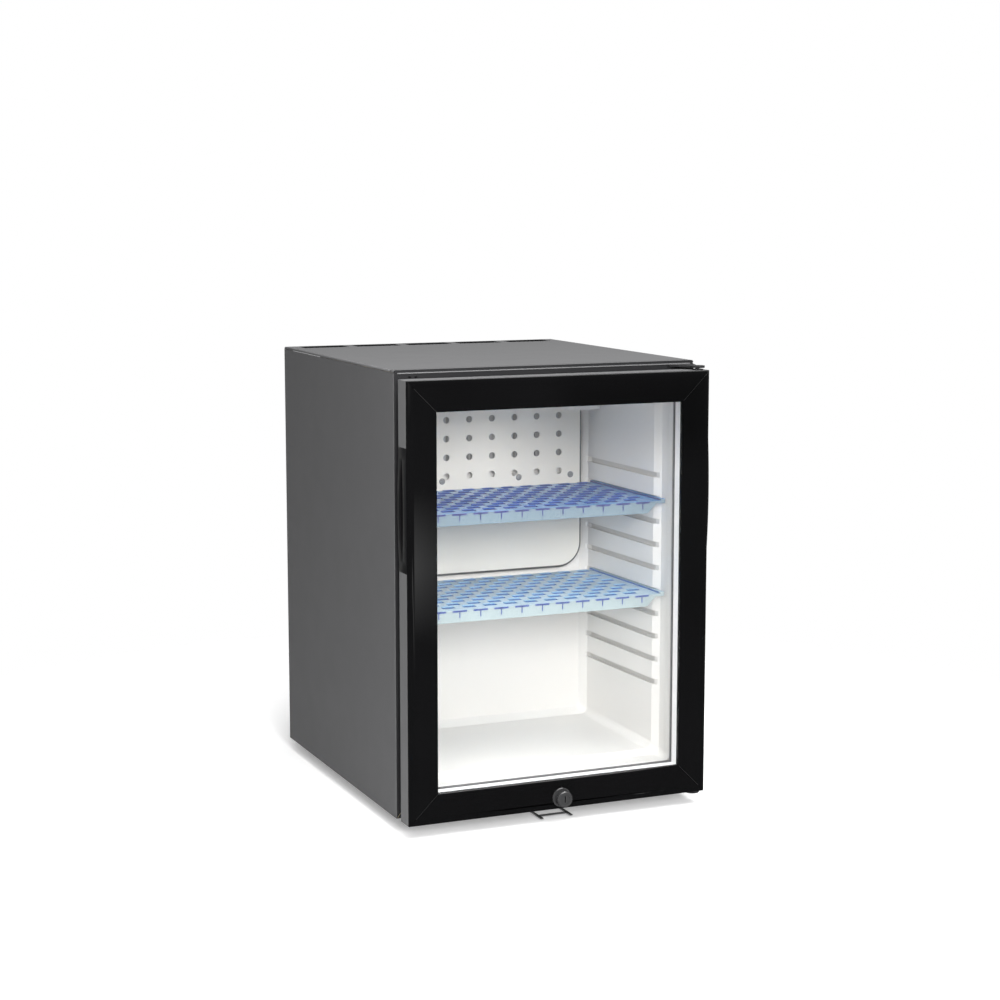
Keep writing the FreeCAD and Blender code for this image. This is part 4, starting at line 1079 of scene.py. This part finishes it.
def door_gasket():
    """Door seal with its folded bellows and magnet strip, mitred at the corners."""
    low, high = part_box("door_seal")
    deep = high.y - low.y
    section = gasket_shares + [(1 - across, along) for across, along in reversed(gasket_shares)]
    work = bmesh.new()
    rings = []
    for across, along in section:
        inset = across * gasket_width
        y = low.y + along * deep
        rings.append([work.verts.new((x, y, z)) for x, z in (
            (low.x + inset, low.z + inset), (high.x - inset, low.z + inset),
            (high.x - inset, high.z - inset), (low.x + inset, high.z - inset))])
    for ring, following in zip(rings, rings[1:] + rings[:1]):
        for corner in range(4):
            after = (corner + 1) % 4
            work.faces.new((ring[corner], ring[after], following[after], following[corner]))
    bmesh.ops.recalc_face_normals(work, faces=work.faces)
    piece = shown("door_gasket", finished(work, "gasket"), "door", "seal_black")
    soften(piece, sheet_edge)
    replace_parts(piece, "door_seal")


# Studio

def white_world():
    """White backdrop for the camera, plain fill for the object."""
    world = bpy.data.worlds.new("Studio")
    bpy.context.scene.world = world
    world.use_nodes = True
    tree = world.node_tree
    light = tree.nodes["Background"]
    path = tree.nodes.new("ShaderNodeLightPath")
    heading = split(tree, tree.nodes.new("ShaderNodeTexCoord").outputs["Generated"])
    rear = tree.nodes.new("ShaderNodeMapRange")
    rear.inputs["From Min"].default_value, rear.inputs["From Max"].default_value = reflection_band
    rear.inputs["To Min"].default_value = front_reflection
    rear.inputs["To Max"].default_value = rear_reflection
    tree.links.new(heading["Y"], rear.inputs["Value"])
    strength = world_fill
    for seen, value in (("Is Glossy Ray", rear.outputs["Result"]), ("Is Transmission Ray", 1.0),
                        ("Is Camera Ray", 1.0)):
        mix = tree.nodes.new("ShaderNodeMix")
        tree.links.new(path.outputs[seen], mix.inputs["Factor"])
        feed(tree, strength, mix.inputs["A"])
        feed(tree, value, mix.inputs["B"])
        strength = mix.outputs["Result"]
    tree.links.new(strength, light.inputs["Strength"])
    light.inputs["Color"].default_value = (1.0, 1.0, 1.0, 1.0)


def pale_floor():
    """White floor that keeps the soft shadow of the fridge."""
    bpy.ops.mesh.primitive_plane_add(size=floor_size)
    floor = bpy.context.object
    floor.name = "floor"
    made, tree, shader = bare_finish("PaleFloor")
    shade = rgba((floor_grey * floor_drift,) * 3)
    tone = place_group(tree, "tone", Base=rgba((floor_grey,) * 3), Shade=shade, Scale=0.5)
    tree.links.new(tone.outputs["Color"], shader.inputs["Base Color"])
    shader.inputs["Roughness"].default_value = floor_rough
    shader.inputs["Specular IOR Level"].default_value = 0.0
    glow = tree.nodes.new("ShaderNodeEmission")
    path = tree.nodes.new("ShaderNodeLightPath")
    lift = calc(tree, "MULTIPLY", path.outputs["Is Camera Ray"], floor_lift)
    tree.links.new(lift, glow.inputs["Strength"])
    both = tree.nodes.new("ShaderNodeAddShader")
    tree.links.new(shader.outputs["BSDF"], both.inputs[0])
    tree.links.new(glow.outputs["Emission"], both.inputs[1])
    reach = tree.nodes.new("ShaderNodeVectorMath")
    reach.operation = "LENGTH"
    tree.links.new(object_place(tree), reach.inputs[0])
    fade = tree.nodes.new("ShaderNodeMapRange")
    fade.inputs["From Min"].default_value, fade.inputs["From Max"].default_value = floor_clear
    tree.links.new(reach.outputs["Value"], fade.inputs["Value"])
    unseen = calc(tree, "MAXIMUM", fade.outputs["Result"], path.outputs["Is Glossy Ray"])
    mix = tree.nodes.new("ShaderNodeMixShader")
    tree.links.new(unseen, mix.inputs["Fac"])
    tree.links.new(both.outputs["Shader"], mix.inputs[1])
    tree.links.new(tree.nodes.new("ShaderNodeBsdfTransparent").outputs["BSDF"], mix.inputs[2])
    tree.links.new(mix.outputs["Shader"], tree.nodes["Material Output"].inputs["Surface"])
    floor.data.materials.append(made)


def soft_light(name, place, aim, size, power, mirrored=True):
    """A square soft light, seen in glossy pieces or not."""
    lamp = bpy.data.lights.new(name, "AREA")
    lamp.size = size
    lamp.energy = power
    holder = added(name, lamp)
    holder.location = place
    holder.rotation_mode = "QUATERNION"
    holder.rotation_quaternion = look(place, aim)
    holder.visible_glossy = mirrored


def studio_card(name, place, aim, size, material):
    """A flat card that the camera and diffuse light don't see."""
    bpy.ops.mesh.primitive_plane_add(size=2 * card_half)
    card = bpy.context.object
    card.name = name
    card.location = place
    card.scale = (*size, 1.0)
    card.rotation_mode = "QUATERNION"
    card.rotation_quaternion = look(place, aim)
    card.visible_camera = card.visible_diffuse = card.visible_transmission = False
    card.data.materials.append(material)
    return card


def mirror_card(name, place, aim, size, glow):
    """A dim card with soft edges that only glossy pieces mirror."""
    made, tree, shader = bare_finish(name)
    tree.nodes.remove(shader)
    across = split(tree, object_place(tree))
    falls = [calc(tree, "SUBTRACT", card_half, calc(tree, "ABSOLUTE", across[axis])) for axis in "XY"]
    fall = calc(tree, "MULTIPLY", calc(tree, "MULTIPLY", *falls), glow / card_half ** 2)
    light = tree.nodes.new("ShaderNodeEmission")
    tree.links.new(fall, light.inputs["Strength"])
    tree.links.new(light.outputs["Emission"], tree.nodes["Material Output"].inputs["Surface"])
    card = studio_card(name, place, aim, size, made)
    card.visible_shadow = False


def shade_card(name, place, aim, size):
    """A card that shades the upper right of the inside from the lamps and shows in nothing itself."""
    card = studio_card(name, place, aim, size, finishes["black_plastic"])
    card.visible_glossy = False


def photo_camera():
    """Camera at the photograph's place."""
    lens = bpy.data.cameras.new("camera")
    lens.lens = camera_lens
    lens.sensor_width = sensor
    lens.clip_end = camera_reach
    holder = added("camera", lens)
    holder.location = camera_place
    level = math.cos(camera_pitch)
    ahead = Vector((math.sin(camera_yaw) * level, math.cos(camera_yaw) * level, -math.sin(camera_pitch)))
    holder.rotation_mode = "QUATERNION"
    holder.rotation_quaternion = ahead.to_track_quat("-Z", "Y")
    bpy.context.scene.camera = holder


dress_solids()
cooling_pipes()
evaporator_cover()
fasteners()
rail_bead()
fascia_seams()
shelf_ribs()
boiler_bands()
turned_pieces()
door_gasket()
white_world()
pale_floor()
soft_light("top_light", **top_light)
soft_light("front_light", **front_light)
soft_light("right_light", **right_light)
soft_light("left_light", **left_light)
mirror_card("front_card", **front_card)
mirror_card("side_card", **side_card)
shade_card("lamp_flag", **lamp_flag)
photo_camera()
bpy.context.scene.view_settings.view_transform = "Standard"
